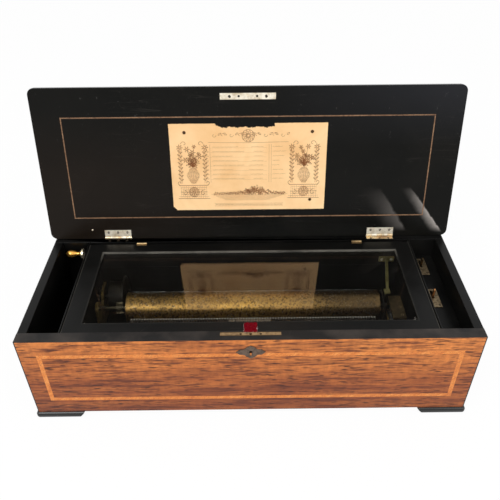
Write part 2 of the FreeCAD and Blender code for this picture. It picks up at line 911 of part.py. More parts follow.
def bed_screw(x, y):
    return joined([rod_z(bed_bottom_z, bed_top_z, x, y, bed_screw_radius),
                   rod_z(bed_top_z, bed_top_z + bed_screw_height, x, y, bed_screw_head)])


def comb_screw_places():
    first_x = cylinder_left + comb_screw_margin
    step = (cylinder_right - cylinder_left - 2 * comb_screw_margin) / (comb_screw_count - 1)
    return [(first_x + k * step, comb_front_y + comb_screw_inset) for k in range(comb_screw_count)]


def comb():
    """Steel plate with a row of thinner teeth, cut apart by narrow slots."""
    plate = block(cylinder_left, cylinder_right, comb_front_y, tooth_root_y, comb_bottom_z, comb_top_z)
    for x, y in comb_screw_places():
        plate = plate.cut(rod_z(comb_bottom_z, comb_top_z, x, y, comb_screw_radius))
    z0 = axis_z - tooth_thickness / 2
    z1 = axis_z + tooth_thickness / 2
    half = tooth_gap / 2
    slots = []
    for k in range(1, tooth_count):
        x = first_gap_x + k * tooth_pitch
        slots.append(block(x - half, x + half, tooth_root_y, tip_y, z0, z1))
    teeth = block(first_gap_x, last_gap_x, tooth_root_y, tip_y, z0, z1).cut(group(slots))
    return joined([plate] + teeth.Solids)


def comb_screw(x, y):
    return joined([rod_z(comb_bottom_z, comb_top_z, x, y, comb_screw_radius),
                   rod_z(comb_top_z, comb_top_z + comb_screw_height, x, y, comb_screw_head)])


parts["bed_bearers"] = bed_bearers()
parts["bedplate"] = bedplate()
parts["bed_screws"] = group([bed_screw(x, y) for x, y in bed_screw_places()])
parts["comb_base"] = block(cylinder_left, cylinder_right, comb_front_y, tooth_root_y - comb_base_setback,
                           bed_top_z, comb_bottom_z)
parts["comb"] = comb()
parts["comb_screws"] = group([comb_screw(x, y) for x, y in comb_screw_places()])


# Wheels

def toothed(teeth, module, x0, x1, y, z, degrees):
    """Spur wheel or pinion with one tooth pointing at the given angle."""
    pitch_radius = teeth * module / 2
    tip = pitch_radius + tooth_above * module
    root = pitch_radius - tooth_below * module
    step = 360 / teeth
    pairs = []
    for k in range(teeth):
        for radius, share in ((root, -tooth_root_share), (tip, -tooth_tip_share),
                              (tip, tooth_tip_share), (root, tooth_root_share)):
            pairs.append(polar(y, z, radius, degrees + (k + share) * step))
    return prism_x(pairs, x0, x1)


def spoked(wheel, x0, x1, y, z, hub, rim, spokes):
    """Wheel opened between hub and rim, with straight bars left across as spokes."""
    ring = rod_x(x0, x1, y, z, rim).cut(rod_x(x0, x1, y, z, hub))
    for k in range(spokes):
        bar = block(x0, x1, -rim, rim, -hub / 2, hub / 2)
        bar.rotate(Vector(0, 0, 0), EAST, 180 * k / spokes)
        bar.translate(Vector(0, y, z))
        ring = ring.cut(bar)
    return wheel.cut(ring)


def great_wheel():
    wheel = toothed(great_teeth, great_module, great_x0, great_x1, axis_y, axis_z, governor_angle)
    rim = great_module * great_teeth / 2 - great_rim_width
    wheel = spoked(wheel, great_x0, great_x1, axis_y, axis_z, great_hub_radius, rim, great_spokes)
    return wheel.cut(rod_x(great_x0, great_x1, axis_y, axis_z, arbor_radius))


def cylinder_cap(x0):
    cap = rod_x(x0, x0 + cap_thickness, axis_y, axis_z, cylinder_radius - cylinder_wall)
    return cap.cut(rod_x(x0, x0 + cap_thickness, axis_y, axis_z, bearing_radius))


def tune_pin(index):
    """One pin under each comb tooth, set round the cylinder by the golden angle."""
    x = first_gap_x + (index + 1 / 2) * tooth_pitch
    angle = math.radians(golden_angle * index)
    outward = Vector(0, math.cos(angle), math.sin(angle))
    foot = Vector(x, axis_y, axis_z) + outward * (cylinder_radius - cylinder_wall)
    across = EAST * pin_radius
    along = outward.cross(EAST) * pin_radius
    corners = [foot + across + along, foot - across + along, foot - across - along, foot + across - along]
    return prism(corners, outward * (cylinder_wall + pin_height))


# The arbor carries its pinion and the great wheel; the pinned tube slides along it from tune to tune.
parts["cylinder_arbor"] = joined([
    rod_x(left_bridge_x0, right_bridge_x1, axis_y, axis_z, arbor_radius),
    toothed(cylinder_pinion_teeth, barrel_module, pinion_x0, pinion_x1, axis_y, axis_z, barrel_angle)])
parts["great_wheel"] = great_wheel()
parts["cylinder_tube"] = rod_x(cylinder_left, cylinder_right, axis_y, axis_z, cylinder_radius).cut(
    rod_x(cylinder_left, cylinder_right, axis_y, axis_z, cylinder_radius - cylinder_wall))
parts["cylinder_caps"] = group([cylinder_cap(cylinder_left), cylinder_cap(cylinder_right - cap_thickness)])
parts["cylinder_pins"] = group([tune_pin(index) for index in range(tooth_count)])

# The barrel's wheel drives the cylinder pinion.
barrel_bore = rod_x(barrel_x0, barrel_wheel_x1, barrel_y, barrel_z, bearing_radius)
barrel_phase = barrel_angle + 180 + 180 / barrel_teeth
parts["barrel_wheel"] = toothed(barrel_teeth, barrel_module, barrel_wheel_x0, barrel_wheel_x1, barrel_y,
                                barrel_z, barrel_phase).cut(barrel_bore)
barrel_drum = rod_x(barrel_x0, barrel_wheel_x0, barrel_y, barrel_z, barrel_radius)
parts["spring_barrel"] = barrel_drum.cut(barrel_bore)


# Bridges and winding gear

def bearing_plate(x0, x1, bosses, foot_y0, foot_y1):
    """Upright plate on a wide foot, rising to one or two round bosses bored for an arbor."""
    shapes = []
    for y, z in bosses:
        shapes.append(rod_x(x0, x1, y, z, bridge_boss_radius))
        shapes.append(prism_x([(foot_y0, bed_top_z), (foot_y1, bed_top_z), (y + bridge_boss_radius, z),
                               (y - bridge_boss_radius, z)], x0, x1))
    plate = joined(shapes)
    for y, z in bosses:
        plate = plate.cut(rod_x(x0, x1, y, z, bearing_radius))
    return plate


def ratchet_wheel(x0, x1, y, z, degrees):
    """Saw-toothed wheel with a crest at the given angle."""
    step = 360 / ratchet_teeth
    pairs = []
    for k in range(ratchet_teeth):
        pairs.append(polar(y, z, ratchet_radius, degrees + k * step))
        pairs.append(polar(y, z, ratchet_radius - ratchet_depth, degrees + (k + ratchet_face_share) * step))
    return prism_x(pairs, x0, x1)


def strut(x0, x1, start, end, start_radius, end_radius):
    """Flat tapered bar with a round boss at each end."""
    run_y = end[0] - start[0]
    run_z = end[1] - start[1]
    length = math.hypot(run_y, run_z)
    corners = []
    for point, reach in ((start, start_radius), (start, -start_radius), (end, -end_radius),
                         (end, end_radius)):
        corners.append((point[0] - run_z / length * reach, point[1] + run_y / length * reach))
    return joined([prism_x(corners, x0, x1), rod_x(x0, x1, start[0], start[1], start_radius),
                   rod_x(x0, x1, end[0], end[1], end_radius)])


def pawl(x0, x1, pivot, nose):
    """Finger with a slim nose, bored for its pin."""
    finger = strut(x0, x1, pivot, nose, pawl_width / 2, pawl_nose_radius)
    return finger.cut(rod_x(x0, x1, pivot[0], pivot[1], pawl_pin_radius + running_clearance))


def pawl_places(nose_angle):
    """Nose just over a ratchet crest and the pivot along the tangent, back towards +Y."""
    pivot = polar(barrel_y, barrel_z, math.hypot(nose_reach, pawl_length), nose_angle - tangent_angle)
    nose = polar(barrel_y, barrel_z, nose_reach, nose_angle)
    return pivot, nose


nose_reach = ratchet_radius + pawl_gap + pawl_nose_radius
tangent_angle = math.degrees(math.atan2(pawl_length, nose_reach))
barrel_at = (barrel_y, barrel_z)
click_x1 = left_bridge_x0 - knuckle_gap
click_x0 = click_x1 - ratchet_thickness
click_pivot, click_nose = pawl_places(click_angle)


def left_bridge():
    """Bridge with both arbor bosses and a lug that carries the click's pin."""
    plate = bearing_plate(left_bridge_x0, left_bridge_x1, [(axis_y, axis_z), barrel_at],
                          axis_y - bridge_boss_radius, barrel_y + bridge_boss_radius)
    lug = strut(left_bridge_x0, left_bridge_x1, barrel_at, click_pivot, bridge_boss_radius, pawl_width / 2)
    lug = lug.cut(rod_x(left_bridge_x0, left_bridge_x1, barrel_y, barrel_z, bearing_radius))
    pin = rod_x(click_x0, left_bridge_x0, click_pivot[0], click_pivot[1], pawl_pin_radius)
    return joined([plate, lug, pin])


# The lever arm turns on the winding arbor and carries its pawl on a stud.
knob_at = (inner_back_y - knob_back_gap, rim_z - knob_drop)
lever_x1 = -partition_x - lever_arm_gap
lever_x0 = lever_x1 - lever_arm_thickness
winding_x1 = lever_x0 - knuckle_gap
winding_x0 = winding_x1 - ratchet_thickness
lever_arm_angle = math.degrees(math.atan2(knob_at[1] - barrel_z, knob_at[0] - barrel_y))
lever_nose_angle = lever_arm_angle + tangent_angle
pawl_pivot, pawl_nose = pawl_places(lever_nose_angle)


def winding_lever():
    arm = strut(lever_x0, lever_x1, barrel_at, knob_at, lever_arm_boss, lever_arm_tip)
    arm = arm.cut(rod_x(lever_x0, lever_x1, barrel_y, barrel_z, bearing_radius))
    return joined([arm, rod_x(winding_x0, lever_x0, pawl_pivot[0], pawl_pivot[1], pawl_pin_radius)])


def knob():
    """Turned handle: collar disc, hollow flare, slim neck and a swelling bulb."""
    def spot(along, radius):
        return Vector(lever_x0 - along, knob_at[0], knob_at[1] + radius)

    start = spot(0, 0)
    end = spot(knob_length, 0)
    neck_swell = spot(knob_swell_at, knob_swell_radius)
    bulb_end = spot(knob_end_at, knob_end_radius)
    tip = spot(knob_length, knob_tip_radius)
    outline = Part.Wire([
        Part.makeLine(start, spot(0, knob_collar_radius)),
        Part.makeLine(spot(0, knob_collar_radius), spot(knob_collar_thickness, knob_collar_radius)),
        Part.Arc(spot(knob_collar_thickness, knob_collar_radius), spot(knob_flare_end, knob_flare_radius),
                 spot(knob_neck_start, knob_neck_radius)).toShape(),
        Part.makeLine(spot(knob_neck_start, knob_neck_radius), spot(knob_neck_end, knob_neck_radius)),
        Part.Arc(spot(knob_neck_end, knob_neck_radius), neck_swell,
                 spot(knob_bulb_middle, knob_bulb_radius)).toShape(),
        Part.Arc(spot(knob_bulb_middle, knob_bulb_radius), bulb_end, tip).toShape(),
        Part.makeLine(tip, end),
        Part.makeLine(end, start)])
    return Part.Face(outline).revolve(start, EAST, 360)


parts["left_bridge"] = left_bridge()
parts["barrel_bridge"] = bearing_plate(barrel_bridge_x0, barrel_bridge_x1, [barrel_at],
                                       barrel_y - bridge_boss_radius, barrel_y + bridge_boss_radius)
parts["winding_arbor"] = joined([
    rod_x(winding_x0 - arbor_end, barrel_bridge_x1, barrel_y, barrel_z, arbor_radius),
    ratchet_wheel(click_x0, click_x1, barrel_y, barrel_z, click_angle),
    ratchet_wheel(winding_x0, winding_x1, barrel_y, barrel_z, lever_nose_angle)])
parts["click"] = pawl(click_x0, click_x1, click_pivot, click_nose)
parts["winding_lever"] = winding_lever()
parts["winding_pawl"] = pawl(winding_x0, winding_x1, pawl_pivot, pawl_nose)
parts["winding_knob"] = knob()


# Right bridge and its stay

stay_bottom_z = stay_top_z - stay_thickness
stay_x = (right_bridge_x0 + right_bridge_x1) / 2
stay_rear_x = stay_x + stay_slant


def right_bridge():
    bridge = bearing_plate(right_bridge_x0, right_bridge_x1, [(axis_y, axis_z)],
                           axis_y - bridge_boss_radius, axis_y + bridge_boss_radius)
    neck = block(right_bridge_x0, right_bridge_x1, axis_y - stay_width, axis_y + stay_width,
                 axis_z + 2 * arbor_radius, stay_bottom_z)
    return joined([bridge, neck])


def bridge_stay():
    """Slanting bar from a pad on the bridge to a foot screwed to the rail."""
    half = stay_width / 2
    front_y = axis_y - stay_width
    bar = prism_z([(stay_x - half, front_y), (stay_x + half, front_y), (stay_rear_x + half, rail_y),
                   (stay_rear_x - half, rail_y)], stay_bottom_z, stay_top_z)
    foot = block(stay_rear_x - stay_foot / 2, stay_rear_x + stay_foot / 2, rail_y - stay_thickness, rail_y,
                 stay_top_z - stay_foot_height, stay_top_z)
    pad = block(stay_x - stay_width, stay_x + stay_width, front_y, axis_y + stay_width, stay_bottom_z,
                stay_top_z)
    return joined([bar, foot, pad])


parts["right_bridge"] = right_bridge()
parts["bridge_stay"] = bridge_stay()


# Governor: second and third wheels, endless screw and fly

second_distance = great_module * (great_teeth + governor_pinion_teeth) / 2 + mesh_clearance
second_y, second_z = polar(axis_y, axis_z, second_distance, governor_angle)
third_distance = second_module * (second_teeth + third_pinion_teeth) / 2 + mesh_clearance
third_y = second_y + third_distance
third_z = second_z
third_tip = third_module * (third_teeth / 2 + tooth_above)
worm_pitch = math.pi * third_module
worm_y = third_y + third_tip + worm_root_radius + mesh_clearance
worm_bore = worm_pivot_radius + running_clearance
worm_z0 = third_z - worm_turns * worm_pitch / 2
worm_z1 = third_z + worm_turns * worm_pitch / 2
fly_z0 = third_z + third_tip + fly_clearance
fly_z1 = fly_z0 + fly_height
cock_z0 = fly_z1 + fly_clearance
cock_z1 = cock_z0 + cock_thickness
governor_base_z = bed_top_z + cock_thickness
governor_y0 = second_y - second_module * second_teeth / 2 - governor_edge
governor_y1 = worm_y + worm_outer_radius + governor_edge


def second_wheel():
    phase = governor_angle + 180 + 180 / governor_pinion_teeth
    return joined([
        rod_x(great_x0 - pinion_overhang, cheek_b_x1, second_y, second_z, governor_arbor_radius),
        toothed(governor_pinion_teeth, great_module, great_x0 - pinion_overhang, great_x1 + pinion_overhang,
                second_y, second_z, phase),
        toothed(second_teeth, second_module, second_x0, second_x1, second_y, second_z, 0)])


def third_wheel():
    phase = 180 + 180 / third_pinion_teeth
    return joined([
        rod_x(cheek_a_x0, cheek_b_x1, third_y, third_z, governor_arbor_radius),
        toothed(third_pinion_teeth, second_module, second_x0 - pinion_overhang, second_x1 + pinion_overhang,
                third_y, third_z, phase),
        toothed(third_teeth, third_module, third_x0, third_x1, third_y, third_z, 0)])


def worm_section(turn):
    """Four corners of the thread's section after some turns, a crest towards the wheel half way up."""
    angle = 2 * math.pi * turn - math.pi / 2
    z = third_z + worm_pitch * (turn - worm_turns / 2)
    crest = worm_pitch * worm_crest_share
    root = worm_pitch * worm_root_share
    inner = worm_root_radius - worm_sunk
    corners = []
    for radius, offset in ((inner, -root), (worm_outer_radius, -crest), (worm_outer_radius, crest),
                           (inner, root)):
        x = third_x + radius * math.cos(angle)
        corners.append(Vector(x, worm_y + radius * math.sin(angle), z + offset))
    return corners


def facets(a, b, c, d):
    """Two triangles that close the four-sided patch a, b, c, d."""
    return [Part.Face(Part.makePolygon([a, b, c, a])), Part.Face(Part.makePolygon([a, c, d, a]))]


def worm_thread():
    """Right-handed thread in flat facets from section to section."""
    sections = [worm_section(k / worm_steps) for k in range(worm_turns * worm_steps + 1)]
    faces = facets(*sections[0]) + facets(*sections[-1])
    for near, far in zip(sections, sections[1:]):
        for a in range(4):
            b = (a + 1) % 4
            faces += facets(near[a], near[b], far[b], far[a])
    thread = Part.makeSolid(Part.makeShell(faces))
    if thread.Volume < 0:
        thread.reverse()
    return thread


def endless_screw():
    """Worm on its upright spindle, which runs in the base and in the cock."""
    return joined([
        rod_z(worm_z0 - worm_shoulder, worm_z1 + worm_shoulder, third_x, worm_y, worm_root_radius),
        rod_z(governor_base_z - cock_thickness / 2, cock_z0 + cock_thickness / 2, third_x, worm_y,
              worm_pivot_radius),
        worm_thread()])


def fly():
    """Two flat wings on a collar, which brake the train by beating the air."""
    half = fly_thickness / 2
    wings = block(third_x - fly_radius, third_x + fly_radius, worm_y - half, worm_y + half, fly_z0, fly_z1)
    collar = rod_z(fly_z0, fly_z1, third_x, worm_y, fly_collar_radius)
    return joined([wings, collar]).cut(rod_z(fly_z0, fly_z1, third_x, worm_y, worm_pivot_radius))


def governor_frame():
    """Base with a low cheek beside the bridge and a tall one that carries the cock."""
    base = block(cheek_a_x0, cheek_b_x1, governor_y0, governor_y1, bed_top_z, governor_base_z)
    cheek_a = block(cheek_a_x0, cheek_a_x1, second_y - cheek_margin, third_y + cheek_margin,
                    governor_base_z, third_z + cheek_height)
    cheek_b = block(cheek_b_x0, cheek_b_x1, governor_y0, governor_y1, governor_base_z, cock_z0)
    frame = joined([base, cheek_a, cheek_b])
    bore = governor_arbor_radius + running_clearance
    for y in (second_y, third_y):
        frame = frame.cut(rod_x(cheek_a_x0, cheek_b_x1, y, third_z, bore))
    return frame.cut(rod_z(bed_top_z, governor_base_z, third_x, worm_y, worm_bore))


def governor_cock():
    cock = block(third_x - cock_overhang, cheek_b_x1, governor_y0, governor_y1, cock_z0, cock_z1)
    return cock.cut(rod_z(cock_z0, cock_z1, third_x, worm_y, worm_bore))


parts["second_wheel"] = second_wheel()
parts["third_wheel"] = third_wheel()
parts["endless_screw"] = endless_screw()
parts["fly"] = fly()
parts["governor_frame"] = governor_frame()
parts["governor_cock"] = governor_cock()

# The open box is centred over its footprint, and each node goes to a file of its own.
open_back_y = parts["lid_board"].optimalBoundingBox(False, False).YMax
y_shift = (foot_proud - open_back_y) / 2


def main():
    os.makedirs("parts", exist_ok=True)
    for name, shape in parts.items():
        placed = shape.copy()
        placed.translate(Vector(0, y_shift, 0))
        placed.exportStep("parts/" + name + ".step")


main()
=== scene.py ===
import bpy
import json
import math
import random
from mathutils import Matrix, Vector

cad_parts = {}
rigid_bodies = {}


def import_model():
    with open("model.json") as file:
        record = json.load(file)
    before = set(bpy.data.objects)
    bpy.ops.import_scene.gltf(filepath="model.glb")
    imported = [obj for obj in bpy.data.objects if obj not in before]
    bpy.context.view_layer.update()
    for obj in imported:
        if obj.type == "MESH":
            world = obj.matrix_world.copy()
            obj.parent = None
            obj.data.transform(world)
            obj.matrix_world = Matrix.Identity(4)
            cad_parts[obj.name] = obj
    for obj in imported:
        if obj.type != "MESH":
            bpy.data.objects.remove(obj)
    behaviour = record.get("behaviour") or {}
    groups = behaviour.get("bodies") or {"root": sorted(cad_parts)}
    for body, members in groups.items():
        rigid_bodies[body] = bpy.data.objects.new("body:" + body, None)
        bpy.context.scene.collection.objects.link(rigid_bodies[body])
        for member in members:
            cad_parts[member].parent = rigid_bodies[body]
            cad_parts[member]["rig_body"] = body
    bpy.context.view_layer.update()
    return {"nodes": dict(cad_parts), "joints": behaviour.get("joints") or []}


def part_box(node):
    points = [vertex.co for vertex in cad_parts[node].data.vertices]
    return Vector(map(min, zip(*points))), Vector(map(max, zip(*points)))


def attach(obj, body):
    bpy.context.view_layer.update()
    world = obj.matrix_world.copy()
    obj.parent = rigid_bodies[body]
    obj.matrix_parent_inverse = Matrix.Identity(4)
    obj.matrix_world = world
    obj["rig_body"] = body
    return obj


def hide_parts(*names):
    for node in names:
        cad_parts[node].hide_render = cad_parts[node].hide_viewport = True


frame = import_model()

nodes = frame["nodes"]
mm = 0.001
bpy.ops.object.select_all(action="DESELECT")


def tone(red, green, blue):
    # screen colour, 0 to 255, as a linear colour
    return tuple((c / 255 / 12.92) if c < 10.3 else ((c / 255 + 0.055) / 1.055) ** 2.4
                 for c in (red, green, blue)) + (1.0,)


# node helpers; bench["tree"] is the tree they build in

bench = {}


def give(value, socket):
    # a link where the value is another node's output, otherwise the plain value
    if isinstance(value, bpy.types.NodeSocket):
        bench["tree"].links.new(value, socket)
    else:
        socket.default_value = value


def put(kind, inputs=None, **settings):
    node = bench["tree"].nodes.new("ShaderNode" + kind)
    for name, value in settings.items():
        setattr(node, name, value)
    for name, value in (inputs or {}).items():
        give(value, node.inputs[name])
    return node


def sumOf(operation):
    return lambda first, second=0.0: put("Math", {0: first, 1: second}, operation=operation).outputs[0]


plus, minus, times, over = sumOf("ADD"), sumOf("SUBTRACT"), sumOf("MULTIPLY"), sumOf("DIVIDE")
most, above, below = sumOf("MAXIMUM"), sumOf("GREATER_THAN"), sumOf("LESS_THAN")
sizeOf, fraction, raised = sumOf("ABSOLUTE"), sumOf("FRACT"), sumOf("POWER")


def parts(vector):
    return put("SeparateXYZ", {"Vector": vector}).outputs


def blendColour(amount, first, second):
    # each colour is another node's output or a screen colour
    first, second = (tone(*c) if isinstance(c, tuple) else c for c in (first, second))
    return put("Mix", {0: amount, 6: first, 7: second}, data_type="RGBA").outputs[2]


def woodTones(figure, *tones):
    # dark, middle and light tone over the figure of the wood
    ramp = put("ValToRGB", {"Fac": figure})
    ramp.color_ramp.elements.new(0.5)
    for point, place, colour in zip(ramp.color_ramp.elements, (0.0, 0.45, 1.0), tones):
        point.position = place
        point.color = tone(*colour)
    return ramp.outputs["Color"]


def between(value, low, high, outLow=0.0, outHigh=1.0):
    return put("MapRange", {"Value": value, "From Min": low, "From Max": high,
                            "To Min": outLow, "To Max": outHigh}).outputs[0]


def grains(vector, scale, detail=2.0, rough=0.5, warp=0.0):
    return put("TexNoise", {"Vector": vector, "Scale": scale, "Detail": detail, "Roughness": rough,
                            "Distortion": warp}).outputs["Fac"]


def stretched(vector, x, y, z):
    return put("VectorMath", {0: vector, 1: (x, y, z)}, operation="MULTIPLY").outputs[0]


def newGroup(name, numbers, outputs):
    group = bpy.data.node_groups.new(name, "ShaderNodeTree")
    group.interface.new_socket("Vector", in_out="INPUT", socket_type="NodeSocketVector")
    for label, value in numbers.items():
        socket = group.interface.new_socket(label, in_out="INPUT", socket_type="NodeSocketFloat")
        socket.default_value = value
    for label in outputs:
        group.interface.new_socket(label, in_out="OUTPUT", socket_type="NodeSocketFloat")
    start = group.nodes.new("NodeGroupInput")
    end = group.nodes.new("NodeGroupOutput")
    bench["tree"] = group
    return group, start.outputs, end.inputs


def useGroup(group, **values):
    return put("Group", values, node_tree=group).outputs


# shared effects

def makeWoodGrain():
    # grain runs along X of the vector
    group, given, out = newGroup("woodGrain", {"Along": 7.0, "Across": 110.0, "Wander": 0.006},
                                 ["Figure", "Fibre", "Pores", "Ripple"])
    drift = grains(stretched(given["Vector"], 5, 14, 14), 1.0, 2.0)
    drift = times(minus(drift, 0.5), given["Wander"])
    part = parts(given["Vector"])

    def layer(along, across, detail):
        x = times(part["X"], times(given["Along"], along))
        spread = times(given["Across"], across)
        y = times(plus(part["Y"], drift), spread)
        z = times(plus(part["Z"], drift), spread)
        place = put("CombineXYZ", {"X": x, "Y": y, "Z": z}).outputs[0]
        return grains(place, 1.0, detail, 0.6)
    give(between(layer(1.0, 1.0, 5.0), 0.3, 0.7), out["Figure"])
    give(between(layer(4.0, 3.0, 4.0), 0.34, 0.66), out["Fibre"])
    give(between(layer(9.0, 4.0, 1.0), 0.58, 0.7), out["Pores"])
    give(between(layer(20.0, 0.5, 3.0), 0.35, 0.65), out["Ripple"])
    return group


def makeHandling():
    # smudges, fine scratches and small dents from use
    group, given, out = newGroup("handling", {"Smudge": 9.0, "Scratch": 60.0},
                                 ["Smudges", "Scratches", "Dents"])
    cloudy = grains(given["Vector"], given["Smudge"], 5.0, 0.62, 0.6)
    give(between(cloudy, 0.42, 0.72), out["Smudges"])
    turned = put("VectorRotate", {"Vector": given["Vector"], "Angle": 0.6}, rotation_type="Z_AXIS").outputs[0]
    lines = []
    for vector, squeeze in ((given["Vector"], (0.12, 6, 2)), (turned, (5, 0.15, 4))):
        thin = grains(stretched(vector, *squeeze), given["Scratch"], 2.0, 0.5, 0.4)
        ridge = sizeOf(minus(thin, 0.5))
        lines.append(between(ridge, 0.006, 0.0))
    both = most(lines[0], lines[1])
    patchy = between(grains(given["Vector"], times(given["Smudge"], 1.7), 2.0), 0.5, 0.65)
    give(times(both, patchy), out["Scratches"])
    cells = put("TexVoronoi", {"Vector": given["Vector"], "Scale": times(given["Scratch"], 1.6)},
                feature="F1").outputs["Distance"]
    give(between(cells, 0.14, 0.05), out["Dents"])
    return group


woodGrain = makeWoodGrain()
handling = makeHandling()


def newMaterial(name, turn=None, **plain):
    material = bpy.data.materials.new(name)
    material.use_nodes = True
    bench["tree"] = material.node_tree
    shader = material.node_tree.nodes["Principled BSDF"]
    for label, value in plain.items():
        shader.inputs[label.replace("_", " ")].default_value = value
    place = put("TexCoord").outputs["Object"]
    if turn:
        place = put("VectorRotate", {"Vector": place, "Angle": turn[1]}, rotation_type=turn[0]).outputs[0]
    return material, shader, place


def feed(shader, colour=None, roughness=None, metallic=None, height=None, depth=0.0002, strength=0.5):
    for name, value in (("Base Color", colour), ("Roughness", roughness), ("Metallic", metallic)):
        if value is not None:
            give(value, shader.inputs[name])
    if height is not None:
        bump = put("Bump", {"Height": height, "Distance": depth, "Strength": strength})
        give(bump.outputs[0], shader.inputs["Normal"])


# finishes

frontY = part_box("front_panel")[0].y
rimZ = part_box("front_panel")[1].z
hinge = next(joint for joint in frame["joints"] if joint["name"] == "lid_hinge")
lean = -hinge["range_deg"][0] - 90
lidUp = Vector((0, math.sin(math.radians(lean)), math.cos(math.radians(lean))))
lidOut = Vector((0, -math.cos(math.radians(lean)), math.sin(math.radians(lean))))
pivot = Vector(hinge["pos_m"])
faceStep = 1.4  # from the hinge's axis out to the lid's inner face, in mm
lidFace = pivot + lidOut * faceStep * mm
onLid = Matrix.Translation(lidFace) @ Matrix((Vector((1, 0, 0)), lidUp, lidOut)).transposed().to_4x4()


def polishedVeneer(name, tones, along=7.0, across=110.0, streaks=0.85, turn=None, shade=None):
    # tones of the dark, middle and light figure, of the streaks and of the pores
    dark, middle, pale, streakTone, poreTone = tones
    material, shader, place = newMaterial(name, turn, IOR=1.45, Specular_IOR_Level=0.25)
    grain = useGroup(woodGrain, Vector=place, Along=along, Across=across)
    wear = useGroup(handling, Vector=place, Smudge=7.0, Scratch=45.0)
    colour = woodTones(grain["Figure"], dark, middle, pale)
    if shade:
        colour = shade(place, colour)
    colour = blendColour(between(grain["Fibre"], 0.05, 0.55, streaks, 0.0), colour, streakTone)
    colour = blendColour(between(grain["Ripple"], 0.0, 1.0, 0.0, 0.3), colour, streakTone)
    colour = blendColour(times(grain["Pores"], 0.8), colour, poreTone)
    rough = between(wear["Smudges"], 0.0, 1.0, 0.28, 0.44)
    height = minus(grain["Fibre"], grain["Pores"])
    feed(shader, colour, rough, None, height, 0.00008, 0.5)
    return material, shader, colour, place


def ebonised(name, base=(11, 11, 10), haze=(30, 29, 28), rough=(0.28, 0.46), level=0.14, turn=None,
             marks=0.15):
    material, shader, place = newMaterial(name, turn, Specular_IOR_Level=level)
    grain = useGroup(woodGrain, Vector=place, Along=5.0, Across=160.0)
    wear = useGroup(handling, Vector=place, Smudge=8.0, Scratch=38.0)
    colour = blendColour(between(wear["Smudges"], 0.0, 1.0, 0.0, 0.5), base, haze)
    colour = blendColour(times(wear["Scratches"], marks), colour, (96, 90, 84))
    shine = between(wear["Smudges"], 0.0, 1.0, *rough)
    height = minus(times(grain["Fibre"], 0.5), wear["Scratches"])
    feed(shader, colour, shine, None, height, 0.00003, 0.3)
    return material, shader, colour, place


def metalFinish(name, bright, dull, rough, smudge=22.0, tarnish=(0.42, 0.68), metallic=(0.9, 0.6)):
    material, shader, place = newMaterial(name, Specular_IOR_Level=0.3)
    wear = useGroup(handling, Vector=place, Smudge=smudge, Scratch=220.0)
    cloud = grains(place, smudge * 3, 6.0, 0.65, 0.3)
    amount = between(cloud, tarnish[0], tarnish[1])
    colour = blendColour(amount, bright, dull)
    colour = blendColour(times(wear["Dents"], 0.4), colour, tuple(c // 3 for c in dull))
    shine = between(amount, 0.0, 1.0, *rough)
    height = plus(times(cloud, 0.4), wear["Scratches"])
    feed(shader, colour, shine, between(amount, 0.0, 1.0, *metallic), height, 0.00003, 0.35)
    return material, shader, colour, place


def dress(material, *names):
    for name in names:
        mesh = nodes[name].data
        mesh.materials.clear()
        mesh.materials.append(material)


def paintedFrontLight(place, colour):
    # painted light and shade: lighter and more orange towards the top, browner at the foot
    part = parts(place)
    low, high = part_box("front_panel")
    # painted shade: browner towards the foot
    colour = blendColour(between(part["Z"], low.z, high.z, 0.55, 0.0), colour, (112, 62, 44))
    # painted light: patches of lighter orange over the upper part
    glow = times(between(part["Z"], low.z + 0.05, high.z, 0.0, 1.0),
                 between(grains(place, 6.0, 2.0), 0.35, 0.65, 0.3, 0.9))
    return blendColour(glow, colour, (240, 150, 78))


keyway = {"halfWide": 4.5, "halfHigh": 7.5}


def frontFinish():
    # rosewood on the front face only; the rim and the inside of that board are black, and the keyway is
    # painted black as the shade inside its hole
    tones = (100, 48, 30), (186, 102, 52), (222, 132, 66), (92, 46, 34), (54, 28, 24)
    material, shader, colour, place = polishedVeneer("rosewoodFront", tones, shade=paintedFrontLight)
    part = parts(place)
    inside = above(part["Y"], frontY + 0.0009)
    ends = above(sizeOf(part["X"]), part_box("front_panel")[1].x - 0.0012)
    edge = above(part["Z"], rimZ - 0.0007)
    # painted shade: the keyway is near black, as the inside of the keyhole
    low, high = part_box("escutcheon")
    keyholeShade = times(below(sizeOf(part["X"]), keyway["halfWide"] * mm),
                 below(sizeOf(minus(part["Z"], (low.z + high.z) / 2)), keyway["halfHigh"] * mm))
    black = most(most(inside, ends), most(edge, keyholeShade))
    dark = blendColour(between(grains(place, 30.0, 4.0), 0.4, 0.7), (24, 22, 21), (58, 52, 48))
    feed(shader, blendColour(black, colour, dark))
    return material


rosewood = frontFinish()
inlay = polishedVeneer("inlayBand", ((206, 118, 58), (232, 142, 70), (246, 166, 92), (186, 102, 54),
                                     (170, 96, 54)), 60.0, 200.0, 0.45, turn=("Y_AXIS", 0.75))[0]
stringing = polishedVeneer("lidStringing", ((112, 82, 60), (138, 104, 78), (160, 126, 96), (96, 70, 50),
                                            (78, 56, 42)), 30.0, 200.0, 0.4)[0]
ebony = ebonised("ebonisedCase")[0]
ebonyUpright = ebonised("ebonisedSides", turn=("Z_AXIS", math.pi / 2))[0]
footBlack = ebonised("ebonisedFeet", rough=(0.12, 0.22), level=0.45)[0]
plainWood = polishedVeneer("stainedPine", ((20, 15, 11), (30, 23, 17), (40, 30, 22), (16, 12, 10),
                                           (12, 9, 8)), across=80.0)[0]


